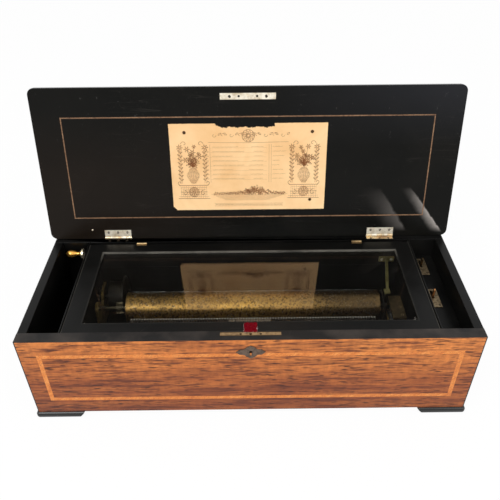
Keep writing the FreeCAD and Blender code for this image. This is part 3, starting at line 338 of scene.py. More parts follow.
def lidFinish():
    # black inside with a painted reflection of pale slanting streaks and a painted sheen, veneer and a line
    # of inlay outside
    material, shader, colour, place = ebonised("ebonisedLid", base=(12, 12, 10), haze=(24, 22, 19),
                                               rough=(0.14, 0.3), level=0.1, marks=0.12)
    x = parts(place)["X"]

    def along(axis):
        dot = put("VectorMath", {0: place, 1: axis}, operation="DOT_PRODUCT").outputs["Value"]
        return minus(dot, pivot.dot(axis))
    up, out = along(lidUp), along(lidOut)
    ripple = between(grains(place, 120.0, 3.0), 0.3, 0.7, -0.0012, 0.0012)

    def paintedReflection(x0, up0, x1, up1, half, level):
        # painted reflection: a slanting pale band, sharp on its right side and fading to the left and upwards
        slope = (x1 - x0) / (up1 - up0)
        centre = plus(times(minus(up, up0), slope), x0)
        aside = plus(minus(x, centre), ripple)
        band = times(between(aside, -2.2 * half, half * 0.6), between(aside, half, half * 0.6))
        ends = times(between(up, up0 + 0.006, up0 - 0.03, 0.0, 1.0), between(up, up1, up1 + 0.008))
        return times(times(raised(band, 1.7), ends), level)
    # painted reflection: two pale streaks low on the right of the lid's inside
    paintedReflections = most(paintedReflection(0.226, 0.066, 0.274, 0.004, 0.006, 0.85),
                  paintedReflection(0.178, 0.066, 0.218, 0.006, 0.012, 0.2))
    colour = blendColour(paintedReflections, colour, (168, 161, 155))
    # painted sheen: a bluish grey patch over the upper right of the lid's inside
    paintedSheen = times(between(x, 0.02, 0.26), between(up, 0.13, 0.2))
    colour = blendColour(times(paintedSheen, 0.5), colour, (44, 45, 50))
    spots = times(between(grains(stretched(place, 1, 1, 0.5), 170.0, 4.0, 0.7), 0.66, 0.78),
                  between(up, 0.12, 0.2, 0.15, 0.7))
    colour = blendColour(spots, colour, (104, 102, 100))
    warm = times(between(x, 0.0, -0.2), between(up, 0.18, 0.1))
    colour = blendColour(times(warm, 0.35), colour, (40, 30, 22))

    grain = useGroup(woodGrain, Vector=place, Along=7.0, Across=110.0)
    veneer = woodTones(grain["Figure"], (100, 48, 30), (176, 96, 52), (212, 126, 66))
    veneer = blendColour(between(grain["Fibre"], 0.05, 0.55, 0.85, 0.0), veneer, (84, 42, 32))
    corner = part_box("lid_board")[1]
    reach = (corner - pivot).dot(lidUp)
    inset = 0.034
    ring = most(minus(sizeOf(x), corner.x - inset),
                minus(sizeOf(minus(up, reach / 2)), reach / 2 - inset))
    line = between(sizeOf(ring), 0.0021, 0.0019)
    veneer = blendColour(line, veneer, (226, 138, 72))
    outside = below(out, -0.0088)
    feed(shader, blendColour(outside, colour, veneer))
    return material


def frameFinish():
    # black frame, lighter grey along the edges of its opening and its outer sides: painted highlight, patchy
    # as if rubbed
    material, shader, colour, place = ebonised("ebonisedFrame", rough=(0.34, 0.46))
    corners = [corner.co for corner in nodes["glass_frame"].data.vertices]
    middle = (min(corner.y for corner in corners) + max(corner.y for corner in corners)) / 2
    wide = min(abs(corner.x) for corner in corners if corner.y < middle)
    inner = [corner.y for corner in corners if abs(abs(corner.x) - wide) < 0.1 * mm]
    part = parts(place)
    front, back = max(y for y in inner if y < middle), min(y for y in inner if y > middle)
    away = [minus(sizeOf(part["X"]), wide), minus(front, part["Y"]), minus(part["Y"], back)]
    nearest = most(away[0], most(away[1], away[2]))
    # painted highlight along the edges of the opening, strongest at its rear edge
    rear = between(part["Y"], back - 0.02, max(inner), 0.1, 0.9)
    patchy = between(grains(place, 24.0, 4.0), 0.35, 0.6, 0.3, 0.85)
    rubbedAndHighlit = times(times(between(nearest, 0.0022, 0.0012), patchy), rear)
    # painted highlight along the frame's outer sides as well
    outer = max(corner.x for corner in corners)
    rim = between(minus(outer, sizeOf(part["X"])), 0.0012, 0.0006, 0.0, 0.7)
    rubbedAndHighlit = most(rubbedAndHighlit, times(rim, patchy))
    feed(shader, blendColour(rubbedAndHighlit, colour, (104, 101, 94)))
    return material


ebonyLid = lidFinish()
frameBlack = frameFinish()
brass = metalFinish("agedBrass", (152, 124, 72), (92, 72, 42), (0.4, 0.55))[0]
paleBrass = metalFinish("paleBrass", (112, 94, 66), (76, 62, 43), (0.4, 0.55))[0]
oliveBrass = metalFinish("oliveBrass", (156, 144, 92), (98, 88, 54), (0.35, 0.5))[0]
# painted shade: brass darkened almost black for the movement parts that lie in shade
shadeDarkBrass = metalFinish("shadeDarkenedBrass", (40, 35, 27), (22, 19, 16), (0.42, 0.6))[0]
plateBrass = metalFinish("mottledPlate", (158, 140, 110), (88, 72, 54), (0.4, 0.6), smudge=60.0)[0]
# painted light and shade: the two levers, of one brass, are tan where lit and dark where shaded
litLever = metalFinish("tanLever", (196, 138, 88), (128, 84, 50), (0.3, 0.45))[0]
shadedLever = metalFinish("shadedLeverBrass", (84, 66, 42), (36, 28, 18), (0.25, 0.4), smudge=60.0)[0]
nickel = metalFinish("paleHingeBrass", (244, 236, 218), (178, 158, 126), (0.3, 0.5), metallic=(0.7, 0.5))[0]
hingeGold = metalFinish("hingeKnuckleBrass", (240, 222, 186), (178, 142, 96), (0.25, 0.4),
                        metallic=(0.75, 0.55))[0]
glassHinge = metalFinish("dullHingeBrass", (176, 150, 108), (96, 76, 50), (0.35, 0.5))[0]
bronze = metalFinish("darkBronze", (112, 96, 84), (62, 50, 42), (0.3, 0.5), smudge=60.0)[0]
steel = metalFinish("polishedSteel", (176, 174, 170), (100, 98, 96), (0.25, 0.42))[0]
tackBronze = metalFinish("tackBronze", (92, 66, 42), (44, 32, 22), (0.2, 0.4), smudge=90.0)[0]
dullSteel = metalFinish("dullSteel", (84, 74, 55), (49, 42, 32), (0.35, 0.5))[0]


def knobFinish():
    # gold turned knob with a paler collar at its root
    material, shader, colour, place = metalFinish("turnedKnob", (240, 180, 88), (186, 126, 54), (0.2, 0.32),
                                                  tarnish=(0.5, 0.8))
    across = parts(place)["X"]
    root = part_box("winding_knob")[1].x
    collar = between(across, root - 0.0052, root - 0.0046)
    feed(shader, blendColour(collar, colour, (244, 230, 196)))
    return material


def lockFinish():
    # brass plate, with painted shade along its long edges, over a dark iron box
    material, shader, colour, place = metalFinish("lockBrass", (174, 146, 108), (112, 90, 63), (0.4, 0.55),
                                                  smudge=40.0)
    low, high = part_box("lock")
    off = minus(parts(place)["Y"], (low.y + high.y) / 2)
    # painted shade along the plate's long edges
    edge = between(sizeOf(off), 0.0018, 0.0028, 0.0, 0.9)
    colour = blendColour(edge, colour, (46, 34, 27))
    deep = between(parts(place)["Z"], rimZ - 0.0018, rimZ - 0.0022)
    feed(shader, blendColour(deep, colour, (12, 11, 10)))
    return material


def pinnedBrass():
    # dull brass dotted by its pin holes, with rings left by turning, and painted shade over its right part
    # and at its left end
    material, shader, place = newMaterial("pinnedBrass", Metallic=0.95, Specular_IOR_Level=0.3)
    cloud = grains(place, 26.0, 5.0, 0.6)
    colour = blendColour(between(cloud, 0.35, 0.7), (164, 124, 60), (110, 82, 42))
    across = parts(place)["X"]
    # painted shade: darker over the right part of the cylinder and at its left end
    colour = blendColour(between(across, 0.03, 0.12, 0.0, 0.78), colour, (68, 56, 44))
    colour = blendColour(between(across, -0.08, -0.105, 0.0, 0.42), colour, (66, 54, 38))
    speckle = between(grains(place, 330.0, 2.0, 0.6), 0.47, 0.62)
    cells = put("TexVoronoi", {"Vector": place, "Scale": 620.0}, feature="F1").outputs["Distance"]
    dots = between(cells, 0.42, 0.2)
    colour = blendColour(times(speckle, 0.8), colour, (48, 36, 24))
    colour = blendColour(times(dots, 0.5), colour, (62, 46, 30))
    rings = grains(stretched(place, 900, 4, 4), 1.0, 2.0)
    shine = plus(between(cloud, 0.3, 0.7, 0.27, 0.34), times(speckle, 0.1))
    height = plus(times(dots, -0.8), times(rings, 0.3))
    feed(shader, colour, shine, None, height, 0.00004, 0.12)
    return material


comb = {"pitch": 3.63, "margin": 5.9}


def combFinish():
    # dull teeth and plate with bright bare tips, their pale colour a painted glint
    material, shader, place = newMaterial("combSteel")
    cloud = grains(place, 60.0, 5.0, 0.6)
    dull = blendColour(between(cloud, 0.35, 0.7), (70, 64, 60), (42, 38, 35))
    part = parts(place)
    low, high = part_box("comb")
    pitch = comb["pitch"] * mm
    count = int((high.x - low.x - 2 * comb["margin"] * mm) / pitch)
    along = over(minus(part["X"], (low.x + high.x - count * pitch) / 2), pitch)
    aside = sizeOf(minus(fraction(along), 0.5))
    # painted glint: pale, less metallic tips on each tooth
    bareTipGlint = times(between(part["Y"], high.y - 0.0026, high.y - 0.002),
                 between(aside, 0.22, 0.14))
    colour = blendColour(bareTipGlint, dull, (178, 170, 156))
    feed(shader, colour, between(cloud, 0.3, 0.7, 0.35, 0.5), between(bareTipGlint, 0.0, 1.0, 0.9, 0.2),
         cloud, 0.00004, 0.3)
    return material


knobBrass = knobFinish()
lockBrass = lockFinish()
cylinderBrass = pinnedBrass()
combSteel = combFinish()
darkSteel = metalFinish("darkScrewSteel", (64, 58, 52), (34, 30, 26), (0.3, 0.5), smudge=90.0)[0]
iron = ebonised("japannedIron", base=(14, 13, 12), haze=(30, 28, 26), rough=(0.3, 0.5))[0]

dress(rosewood, "front_panel")
dress(inlay, "front_band")
dress(stringing, "lid_stringing")
dress(ebony, "back_panel", "back_rail", "control_shelf")
dress(frameBlack, "glass_frame")
dress(footBlack, "feet")
dress(ebonyUpright, "left_panel", "right_panel", "left_partition", "right_partition")
dress(ebonyLid, "lid_board")
dress(plainWood, "bottom_board", "bed_bearers")
dress(nickel, "lid_hinge_leaves", "link_plate")
dress(hingeGold, "case_hinge_leaves", "case_hinge_pins")
dress(glassHinge, "glass_hinge_leaves", "rail_hinge_leaves", "glass_hinge_pins")
dress(lockBrass, "lock")
dress(plateBrass, "start_plate", "change_plate", "control_brackets")
dress(brass, "cylinder_caps", "left_bridge", "governor_frame", "fly")
dress(paleBrass, "governor_cock")
dress(oliveBrass, "bridge_stay")
dress(shadeDarkBrass, "comb_base", "great_wheel", "right_bridge", "barrel_wheel", "spring_barrel",
      "barrel_bridge", "winding_arbor", "click", "winding_lever", "winding_pawl")
dress(cylinderBrass, "cylinder_tube")
dress(knobBrass, "winding_knob")
dress(shadedLever, "change_lever")
dress(litLever, "start_lever")
dress(bronze, "escutcheon")
dress(tackBronze, "sheet_tacks")
dress(dullSteel, "cylinder_arbor", "cylinder_pins")
dress(steel, "comb_screws", "bed_screws", "second_wheel", "third_wheel", "endless_screw")
dress(combSteel, "comb")
dress(iron, "bedplate")

# clear pane that lets lamp light through
glass, shader, place = newMaterial("clearGlass", Transmission_Weight=1.0, IOR=1.5, Roughness=0.0)
shader.inputs["Base Color"].default_value = (0.93, 0.96, 0.95, 1)
# painted reflection colour: a warm specular tint, like the paper's, over all that the pane reflects
shader.inputs["Specular Tint"].default_value = (0.9, 0.76, 0.62, 1)
clear = put("BsdfTransparent")
path = put("LightPath").outputs
through = put("MixShader", {0: path["Is Shadow Ray"], 1: shader.outputs[0], 2: clear.outputs[0]})
give(through.outputs[0], bench["tree"].nodes["Material Output"].inputs["Surface"])
dress(glass, "glass_pane")
print("finishes made")


# finishes of the paper, the ribbon and the ink

paperMaterial, shader, place = newMaterial("agedPaper", Specular_IOR_Level=0.15)
stain = grains(place, 14.0, 5.0, 0.6, 0.4)
colour = blendColour(between(stain, 0.35, 0.75), (250, 211, 160), (232, 184, 128))
fibre = grains(place, 900.0, 3.0)
feed(shader, colour, between(stain, 0.3, 0.8, 0.7, 0.85), None, fibre, 0.00003, 0.4)
dress(paperMaterial, "tune_sheet")

ribbonMaterial, shader, place = newMaterial("crimsonRibbon", Specular_IOR_Level=0.05)
weave = put("TexWave", {"Vector": place, "Scale": 480.0}, bands_direction="Y").outputs["Fac"]
colour = blendColour(weave, (68, 2, 12), (134, 5, 24))
feed(shader, colour, None, None, weave, 0.00005, 0.5)
dress(ribbonMaterial, "ribbon_pull")
threadMaterial, shader, place = newMaterial("ribbonThread", Roughness=0.8)
strands = grains(place, 900.0, 2.0)
feed(shader, blendColour(strands, (190, 160, 160), (240, 230, 226)), None, None, strands)
inkMaterial, shader, place = newMaterial("brownInk", Specular_IOR_Level=0.1)
faded = grains(place, 60.0, 4.0)
colour = blendColour(between(faded, 0.35, 0.7), (98, 56, 32), (144, 92, 56))
feed(shader, colour, between(faded, 0.0, 1.0, 0.7, 0.9), None, faded, 0.00001)

# modelling helpers

def pick(piece):
    bpy.ops.object.select_all(action="DESELECT")
    piece.select_set(True)
    bpy.context.view_layer.objects.active = piece


def mode(name):
    bpy.ops.object.mode_set(mode=name)


def chooseFaces(piece, test):
    # selects, in edit mode, just those faces whose centre and normal pass the test
    bpy.ops.mesh.select_mode(type="FACE")
    bpy.ops.mesh.select_all(action="DESELECT")
    mode("OBJECT")
    for face in piece.data.polygons:
        face.select = test(face.center, face.normal)
    mode("EDIT")


def cutFaces(piece, test):
    mode("EDIT")
    chooseFaces(piece, test)
    bpy.ops.mesh.delete(type="FACE")
    mode("OBJECT")


def newPiece(name, data):
    piece = bpy.data.objects.new(name, data)
    bpy.context.scene.collection.objects.link(piece)
    return piece


def newCurve(name, radius, resolution):
    curve = bpy.data.curves.new(name, "CURVE")
    curve.dimensions = "3D"
    curve.bevel_depth = radius * mm
    curve.bevel_resolution = 0
    curve.resolution_u = resolution
    return curve


def curveMesh(curve):
    pick(newPiece(curve.name, curve))
    bpy.ops.object.convert(target="MESH")
    return bpy.context.object


def newGrid(name, columns, rows, width, length, y):
    bpy.ops.mesh.primitive_grid_add(x_subdivisions=columns, y_subdivisions=rows, size=1)
    piece = bpy.context.object
    piece.name = name
    piece.scale = (width * mm, length * mm, 1)
    piece.location = (0, y * mm, 0)
    bpy.ops.object.transform_apply()
    return piece


def thicken(piece, name, thickness):
    thick = piece.modifiers.new(name, "SOLIDIFY")
    thick.thickness = thickness * mm
    thick.offset = 1.0


def applyAll(piece):
    pick(piece)
    for modifier in list(piece.modifiers):
        bpy.ops.object.modifier_apply(modifier=modifier.name)


def settle(piece, material, body, angle=0.6):
    # place into the mesh, smooth shading, finish and body
    pick(piece)
    bpy.ops.object.transform_apply()
    bpy.ops.object.shade_smooth_by_angle(angle=angle)
    piece.data.materials.clear()
    piece.data.materials.append(material)
    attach(piece, body)
    return piece


def eased(node, width, inner=None):
    # a copy of a board or plate with its sharp edges slightly rounded, as hand finishing leaves them;
    # inner picks the faces of glued joints, which go
    words = node.split("_")
    name = words[0] + "".join(word.capitalize() for word in words[1:]) + "Eased"
    piece = newPiece(name, nodes[node].data.copy())
    pick(piece)
    mode("EDIT")
    bpy.ops.mesh.select_all(action="SELECT")
    bpy.ops.mesh.remove_doubles(threshold=0.000002)
    if inner:
        chooseFaces(piece, inner)
        bpy.ops.mesh.delete(type="FACE")
        bpy.ops.mesh.select_all(action="SELECT")
        bpy.ops.mesh.remove_doubles(threshold=0.000005)
    bpy.ops.mesh.dissolve_limited(angle_limit=0.01)
    mode("OBJECT")
    bevel = piece.modifiers.new("easing", "BEVEL")
    bevel.width = width
    bevel.segments = 2
    bevel.limit_method = "ANGLE"
    bevel.angle_limit = 0.5
    applyAll(piece)
    settle(piece, nodes[node].data.materials[0], nodes[node]["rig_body"])
    piece.modifiers.new("evenShading", "WEIGHTED_NORMAL").keep_sharp = True
    applyAll(piece)
    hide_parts(node)
    return piece


def copies(pattern, name, places, material, body):
    # joins one copy of the pattern's mesh at each place into a single piece
    made = []
    for place in places:
        other = newPiece(name, pattern.data.copy())
        other.data.transform(place)
        made.append(other)
    bpy.ops.object.select_all(action="DESELECT")
    for other in made:
        other.select_set(True)
    bpy.context.view_layer.objects.active = made[0]
    if len(made) > 1:
        bpy.ops.object.join()
    piece = bpy.context.object
    piece.name = name
    return settle(piece, material, body)


def facing(place, normal, spin=0.0):
    # turns a piece modelled along +Z to stand at place along normal
    turn = Vector(normal).to_track_quat("Z", "Y").to_matrix().to_4x4()
    return Matrix.Translation(place) @ turn @ Matrix.Rotation(spin, 4, "Z")


# boards and plates with eased edges

easing = {"glass_frame": 1.1, "front_panel": 0.6, "left_panel": 0.8, "right_panel": 0.8, "back_panel": 0.6,
          "left_partition": 0.5, "right_partition": 0.5, "control_shelf": 0.4, "lid_board": 0.7,
          "start_plate": 0.25, "change_plate": 0.25, "start_lever": 0.5, "change_lever": 0.5,
          "link_plate": 0.25, "lock": 0.25, "escutcheon": 0.2, "case_hinge_leaves": 0.15,
          "lid_hinge_leaves": 0.15, "bridge_stay": 0.6, "governor_cock": 0.5, "right_bridge": 0.4,
          "left_bridge": 0.4, "barrel_bridge": 0.3, "comb_base": 0.5, "bedplate": 0.8, "back_rail": 0.4,
          "feet": 0.5}
for node, width in easing.items():
    mitres = None
    if node == "glass_frame":
        mitres = lambda centre, normal: abs(normal.x) > 0.3 and abs(normal.y) > 0.3
    eased(node, width * mm, inner=mitres)
print("edges eased on", len(easing), "nodes")

# the tune sheet, laid out flat and then set against the open lid

sheet = {"width": 212, "height": 121, "rise": 41.8, "thick": 0.25, "tearFrom": -43, "tearTo": 35,
         "tearDepth": 5.0, "clip": 6, "cell": 1.5, "wave": 0.35, "ink": 0.4, "inkFlat": 0.12,
         "inkLift": 0.07, "ragged": 0.12, "uneven": 0.3}
tacks = {"places": [(-85.5, 151.3), (85.5, 151.3), (85.5, 56.1)], "radius": 2.2, "lift": 0.6, "flat": 0.5,
         "nail": (-225, 12.6), "nailRadius": 1.3}


def paperRise(x, s):
    # gentle cockling of old paper
    wave = math.sin(x * 0.055 + 0.7) * math.sin(s * 0.08 + 0.3) + 0.5 * math.sin(x * 0.13 + s * 0.09)
    return sheet["wave"] * (1.1 + wave) * mm


def layOnLid(piece, lift):
    # flat layout in metres (x, height up the lid) onto the lid, riding its waves
    for corner in piece.data.vertices:
        x, s, z = corner.co
        corner.co = onLid @ Vector((x, s, z + lift + paperRise(x / mm, s / mm)))


def makeSheet():
    columns = int(sheet["width"] / sheet["cell"])
    rows = int(sheet["height"] / sheet["cell"])
    paper = newGrid("tuneSheetPaper", columns, rows, sheet["width"], sheet["height"],
                    sheet["rise"] + sheet["height"] / 2)
    half = sheet["width"] / 2
    top = sheet["rise"] + sheet["height"]
    ragged = random.Random(7)

    def tear(x):
        wander = 0.55 * math.sin(x * 0.33) + 0.4 * math.sin(x * 0.83 + 1) + 0.25 * math.sin(x * 2.1)
        return min(sheet["tearDepth"] + wander, 2.0 + 0.45 * (x - sheet["tearFrom"]))

    def gone(centre, normal):
        x, s = centre.x / mm, centre.y / mm
        torn = sheet["tearFrom"] < x < sheet["tearTo"] and s > top - tear(x)
        cut = (x + half) + (s - sheet["rise"]) < sheet["clip"]
        return torn or cut
    cutFaces(paper, gone)
    for corner in paper.data.vertices:
        x, s = corner.co.x / mm, corner.co.y / mm
        if sheet["tearFrom"] < x < sheet["tearTo"] and s > top - tear(x) - 0.7:
            corner.co.y = (top - tear(x)) * mm
        edge = abs(corner.co.x / mm) > half - 0.1 or not sheet["rise"] + 0.1 < corner.co.y / mm < top - 0.1
        spread = sheet["ragged"] if edge else sheet["uneven"]
        corner.co.x += ragged.uniform(-spread, spread) * mm
        corner.co.y += ragged.uniform(-spread, spread) * mm
    layOnLid(paper, 0.0)
    thicken(paper, "paper", sheet["thick"])
    applyAll(paper)
    settle(paper, paperMaterial, "lid", 1.2)
    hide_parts("tune_sheet")


def makeInk():
    # a printed ornament of borders, scrolls, leaves and ruled lines, with no lettering
    drawing = newCurve("sheetPrint", sheet["ink"] / 2, 3)

    def line(points, weight=1.0, closed=False, smooth=True):
        # long runs are cut short so that they follow the waves of the paper
        ends = points + points[:1] if closed else points
        fine = []
        for (x0, s0), (x1, s1) in zip(ends, ends[1:]):
            count = max(1, math.ceil(math.hypot(x1 - x0, s1 - s0) / 3))
            fine += [(x0 + (x1 - x0) * k / count, s0 + (s1 - s0) * k / count) for k in range(count)]
        if not closed:
            fine.append(ends[-1])
        spline = drawing.splines.new("NURBS" if smooth else "POLY")
        spline.points.add(len(fine) - 1)
        for point, (x, s) in zip(spline.points, fine):
            point.co = (x * mm, s * mm, 0, 1)
            point.radius = weight
        spline.use_cyclic_u = closed
        if smooth:
            spline.order_u = 3
            spline.use_endpoint_u = not closed

    def polar(x, s, radius, angle):
        return x + radius * math.cos(angle), s + radius * math.sin(angle)

    def ring(x, s, radius, weight=1.0):
        line([polar(x, s, radius, k * math.pi / 5) for k in range(10)], weight, True)

    def leaf(x, s, angle, length, weight=0.8):
        tip = polar(x, s, length, angle)
        for side in (-1, 1):
            line([(x, s), polar(x, s, 0.55 * length, angle + side * 0.6), tip], weight)
        line([(x, s), tip], weight * 0.6)

    def curl(x, s, radius, start, turn, weight=1.0):
        line([polar(x, s, radius * (1 - k / 12), start + turn * k * 0.5) for k in range(11)], weight)

    def petals(x, s, radius, count):
        ring(x, s, radius * 0.3)
        for k in range(count):
            angle = k * 2 * math.pi / count
            leaf(*polar(x, s, radius * 0.3, angle), angle, radius * 0.75)
    upright = math.pi / 2
    low, high = sheet["rise"] + 13, sheet["rise"] + sheet["height"] - 11
    for side in (-1, 1):
        middle = side * 76
        for k, wide in enumerate((22, 21, 18.5, 18.5, 16, 18, 20)):  # moulded plinth
            height = low + 4 + k * 3.2
            line([(middle - wide, height), (middle + wide, height)], 1.5 if k % 3 == 0 else 0.7)
        for k in range(15):
            x = middle - 17.5 + k * 2.5
            line([(x, low + 4.5), (x + 0.4 * side, low + 22.5)], 0.55)
        for radius in (7.2, 6.2, 5.0):
            ring(middle, low + 13.5, radius, 1.1)
        petals(middle, low + 13.5, 4.6, 8)
        for turn in (-1, 1):
            curl(middle + turn * 13, low + 12, 4.4, upright, turn, 1.4)
            curl(middle + turn * 19, low + 27, 3.4, -upright, turn, 1.3)
            for k in range(3):  # slim columns beside the vase
                x = middle + turn * (15.4 + k * 1.5)
                line([(x, low + 26), (x, low + 72)], 0.7)
            for k in range(8):
                leaf(middle + turn * 17, low + 30 + k * 5.4, upright + turn * 0.9, 4.4, 0.9)
                leaf(middle + turn * 17, low + 32 + k * 5.4, upright - turn * 0.9, 4.0, 0.9)
            petals(middle + turn * 17, low + 76, 4.2, 7)
            curl(middle + turn * 11, low + 81, 4.2, 0 if turn > 0 else math.pi, turn, 1.2)
        for k in range(12):  # fluted vase
            wide = 3.5 + 5.5 * math.sin(k / 11 * math.pi)
            line([(middle - wide, low + 27 + k * 1.9), (middle, low + 26.2 + k * 1.9),
                  (middle + wide, low + 27 + k * 1.9)], 0.9)
        for k in range(-3, 4):
            line([(middle + k * 0.9, low + 26), (middle + k * 2.6, low + 37),
                  (middle + k * 1.1, low + 48)], 0.8)
        for k in range(13):  # flowers standing in it
            reach = 13 + 9 * math.sin(k * 1.7 + side)
            angle = upright + (k - 6) * 0.19
            x, s = middle + reach * 0.62 * math.cos(angle), low + 49 + reach * 1.35 * math.sin(angle)
            line([(middle, low + 48), (middle + (x - middle) * 0.4, (low + 48 + s) / 2), (x, s)], 0.8)
            petals(x, s, 3.4 + 0.8 * math.sin(k * 2.3), 6)
            leaf((middle + x) / 2, (low + 48 + s) / 2, angle + 0.9, 5, 0.9)
            leaf((middle + x) / 2, (low + 48 + s) / 2, angle - 0.9, 5, 0.9)
    for k in range(9):
        x = (k - 4) * 11.5
        curl(x, high - 4.5, 3.2, 0, 1 if k % 2 else -1, 0.9)
        leaf(x + 5.6, high - 4.5, upright + (0.9 if k % 2 else -0.9), 5, 0.8)
    petals(0, high - 5.5, 7.5, 10)
    ring(0, high - 5.5, 8.6, 1.3)
    line([(-54, high - 14), (0, high - 15), (54, high - 14)], 0.8)
    for k in range(8):  # ruled lines beaded with small waves
        height = high - 20.5 - k * 6.3
        for left, right in ((-49, -12 + 9 * math.sin(k * 2.1)), (4 + 4 * math.sin(k), 22),
                            (33, 48 + 5 * math.sin(k * 1.3))):
            count = int((right - left) / 1.2)
            line([(left + j * 1.2, height + (0.65 if j % 2 else -0.35)) for j in range(count)], 0.55)
        line([(-52, height - 1.2), (25, height - 1.3)], 0.3)
        ring(-55, height, 0.8, 0.7)
    for x in (-52, 28, 31):
        line([(x, low + 27), (x, high - 17)], 0.6, False, False)
    for k in range(31):  # bank of leaves along the foot
        x = -48 + k * 3.2
        swell = 3.5 + 7 * math.exp(-((x - 8) / 16) ** 2)
        for j in range(4):
            angle = upright + 0.9 * math.sin(k * 1.9 + j * 2.2)
            leaf(x + j * 0.7, low + 9 + j * 0.25 * swell, angle, swell * 0.62, 0.85)
    for k in range(7):
        line([(-52 + 3 * k, low + 10 - k * 1.3), (-20, low + 8.8 - k * 1.25), (20, low + 8.8 - k * 1.25),
              (54 - 4 * k, low + 10 - k * 1.3)], 0.6)
    for k in range(3):
        petals(8 + (k - 1) * 8, low + 13 + (2 if k == 1 else 0), 4.6, 9)
    for k in range(45):  # beaded border under it
        ring(-46 + k * 2.1, low - 5.5, 0.7, 0.6)
    for rise in (-7.4, -3.6):
        line([(-48, low + rise), (48, low + rise)], 0.5, False, False)
    piece = curveMesh(drawing)
    for corner in piece.data.vertices:
        corner.co.z *= sheet["inkFlat"]
    layOnLid(piece, (sheet["thick"] + sheet["inkLift"]) * mm)
    settle(piece, inkMaterial, "lid", 1.0)


def makeTacks():
    # domed nail heads that hold the sheet, and one stray nail in the lid
    bpy.ops.mesh.primitive_uv_sphere_add(segments=18, ring_count=10, radius=1)
    dome = bpy.context.object
    mode("EDIT")
    chooseFaces(dome, lambda centre, normal: centre.z < 0)
    bpy.ops.mesh.delete(type="FACE")
    bpy.ops.mesh.select_all(action="SELECT")
    bpy.ops.transform.resize(value=(1, 1, tacks["flat"]))
    mode("OBJECT")

    def spots(places, radius, lift):
        size = Matrix.Diagonal((radius * mm, radius * mm, radius * mm, 1))
        return [facing(onLid @ Vector((x * mm, s * mm, lift * mm)), lidOut) @ size for x, s in places]
    places = spots(tacks["places"], tacks["radius"], tacks["lift"])
    heads = copies(dome, "tackHeads", places, tackBronze, "lid")
    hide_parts("sheet_tacks")
    copies(dome, "lidNail", spots([tacks["nail"]], tacks["nailRadius"], 0.0), nickel, "lid")
    bpy.data.objects.remove(dome)


makeSheet()
makeInk()
makeTacks()
print("tune sheet made")


# crimson pull ribbon over the frame's front rail

low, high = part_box("ribbon_pull")
ribbon = {"half": 8.0, "front": low.y / mm, "back": high.y / mm, "cells": 26, "thick": 0.3, "ruffle": 1.15,
          "threads": 70, "thread": 0.1, "frameTop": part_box("glass_frame")[1].z / mm, "rim": rimZ / mm,
          "step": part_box("front_panel")[1].y / mm}


def ribbonHeight(y):
    lap = min(1.0, max(0.0, (ribbon["step"] + 1.8 - y) / 1.8))
    rise = (ribbon["rim"] - ribbon["frameTop"]) * lap * lap * (3 - 2 * lap)
    return ribbon["frameTop"] + rise + 0.05


def ribbonRoom(y):
    # full folds over the frame, almost none on the rim, where the closed lid lies on it
    return min(1.0, max(0.08, (y - ribbon["step"]) / 2.2))


def makeRibbon():
    middle = (ribbon["back"] + ribbon["front"]) / 2
    length = ribbon["back"] - ribbon["front"]
    cloth = newGrid("ribbonCloth", ribbon["cells"], ribbon["cells"], 2 * ribbon["half"], length, 0)
    loose = random.Random(3)
    for corner in cloth.data.vertices:
        x, y = corner.co.x / mm, corner.co.y / mm + middle
        room = ribbonRoom(y)
        fold = math.sin(x * 1.3 + 0.9 * math.sin(y * 0.45 - ribbon["step"]))
        ruffle = ribbon["ruffle"] * room * (1 + fold) / 2
        ruffle += 0.35 * room * (1 + math.sin(y * 1.1 + x * 0.7)) / 2
        edge = max(0.0, abs(x) - ribbon["half"] + 0.7) * (2.2 if x < 0 else 1.0)
        corner.co = Vector((x + loose.uniform(-0.1, 0.1) + edge * loose.uniform(-0.5, 0.6),
                            y + loose.uniform(-0.08, 0.08), ribbonHeight(y) + ruffle)) * mm
    thicken(cloth, "cloth", ribbon["thick"])
    smooth = cloth.modifiers.new("soft", "SUBSURF")
    smooth.levels = smooth.render_levels = 1
    applyAll(cloth)
    settle(cloth, ribbonMaterial, "glass_lid", 1.5)
    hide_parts("ribbon_pull")

    frayed = newCurve("ribbonFray", ribbon["thread"], 2)
    for k in range(ribbon["threads"]):
        side = loose.choice((-1, -1, 1, 0))
        if side:
            start = (side * ribbon["half"] * loose.uniform(0.88, 1.0),
                     loose.uniform(ribbon["front"], ribbon["back"]))
            step = (side * loose.uniform(0.3, 1.0), loose.uniform(-1, 1))
        else:
            start = (loose.uniform(-1, 1) * ribbon["half"], ribbon["front"] + 0.2)
            step = (loose.uniform(-0.6, 0.6), -loose.uniform(0.3, 0.8))
        thread = frayed.splines.new("NURBS")
        thread.points.add(2)
        for j, point in enumerate(thread.points):
            x = start[0] + step[0] * j * 0.5
            y = start[1] + step[1] * j * 0.5
            rise = ribbonHeight(y) + 0.2 + ribbonRoom(y) * loose.uniform(0.3, 0.9)
            point.co = (x * mm, y * mm, rise * mm, 1)
        thread.order_u = 3
        thread.use_endpoint_u = True
    piece = curveMesh(frayed)
    settle(piece, threadMaterial, "glass_lid", 1.0)


makeRibbon()
print("ribbon made")


# screws, nails and the cylinder's pins

screw = {"slot": 0.32, "depth": 0.35, "sides": 20, "inset": 0.22, "crown": 0.03}


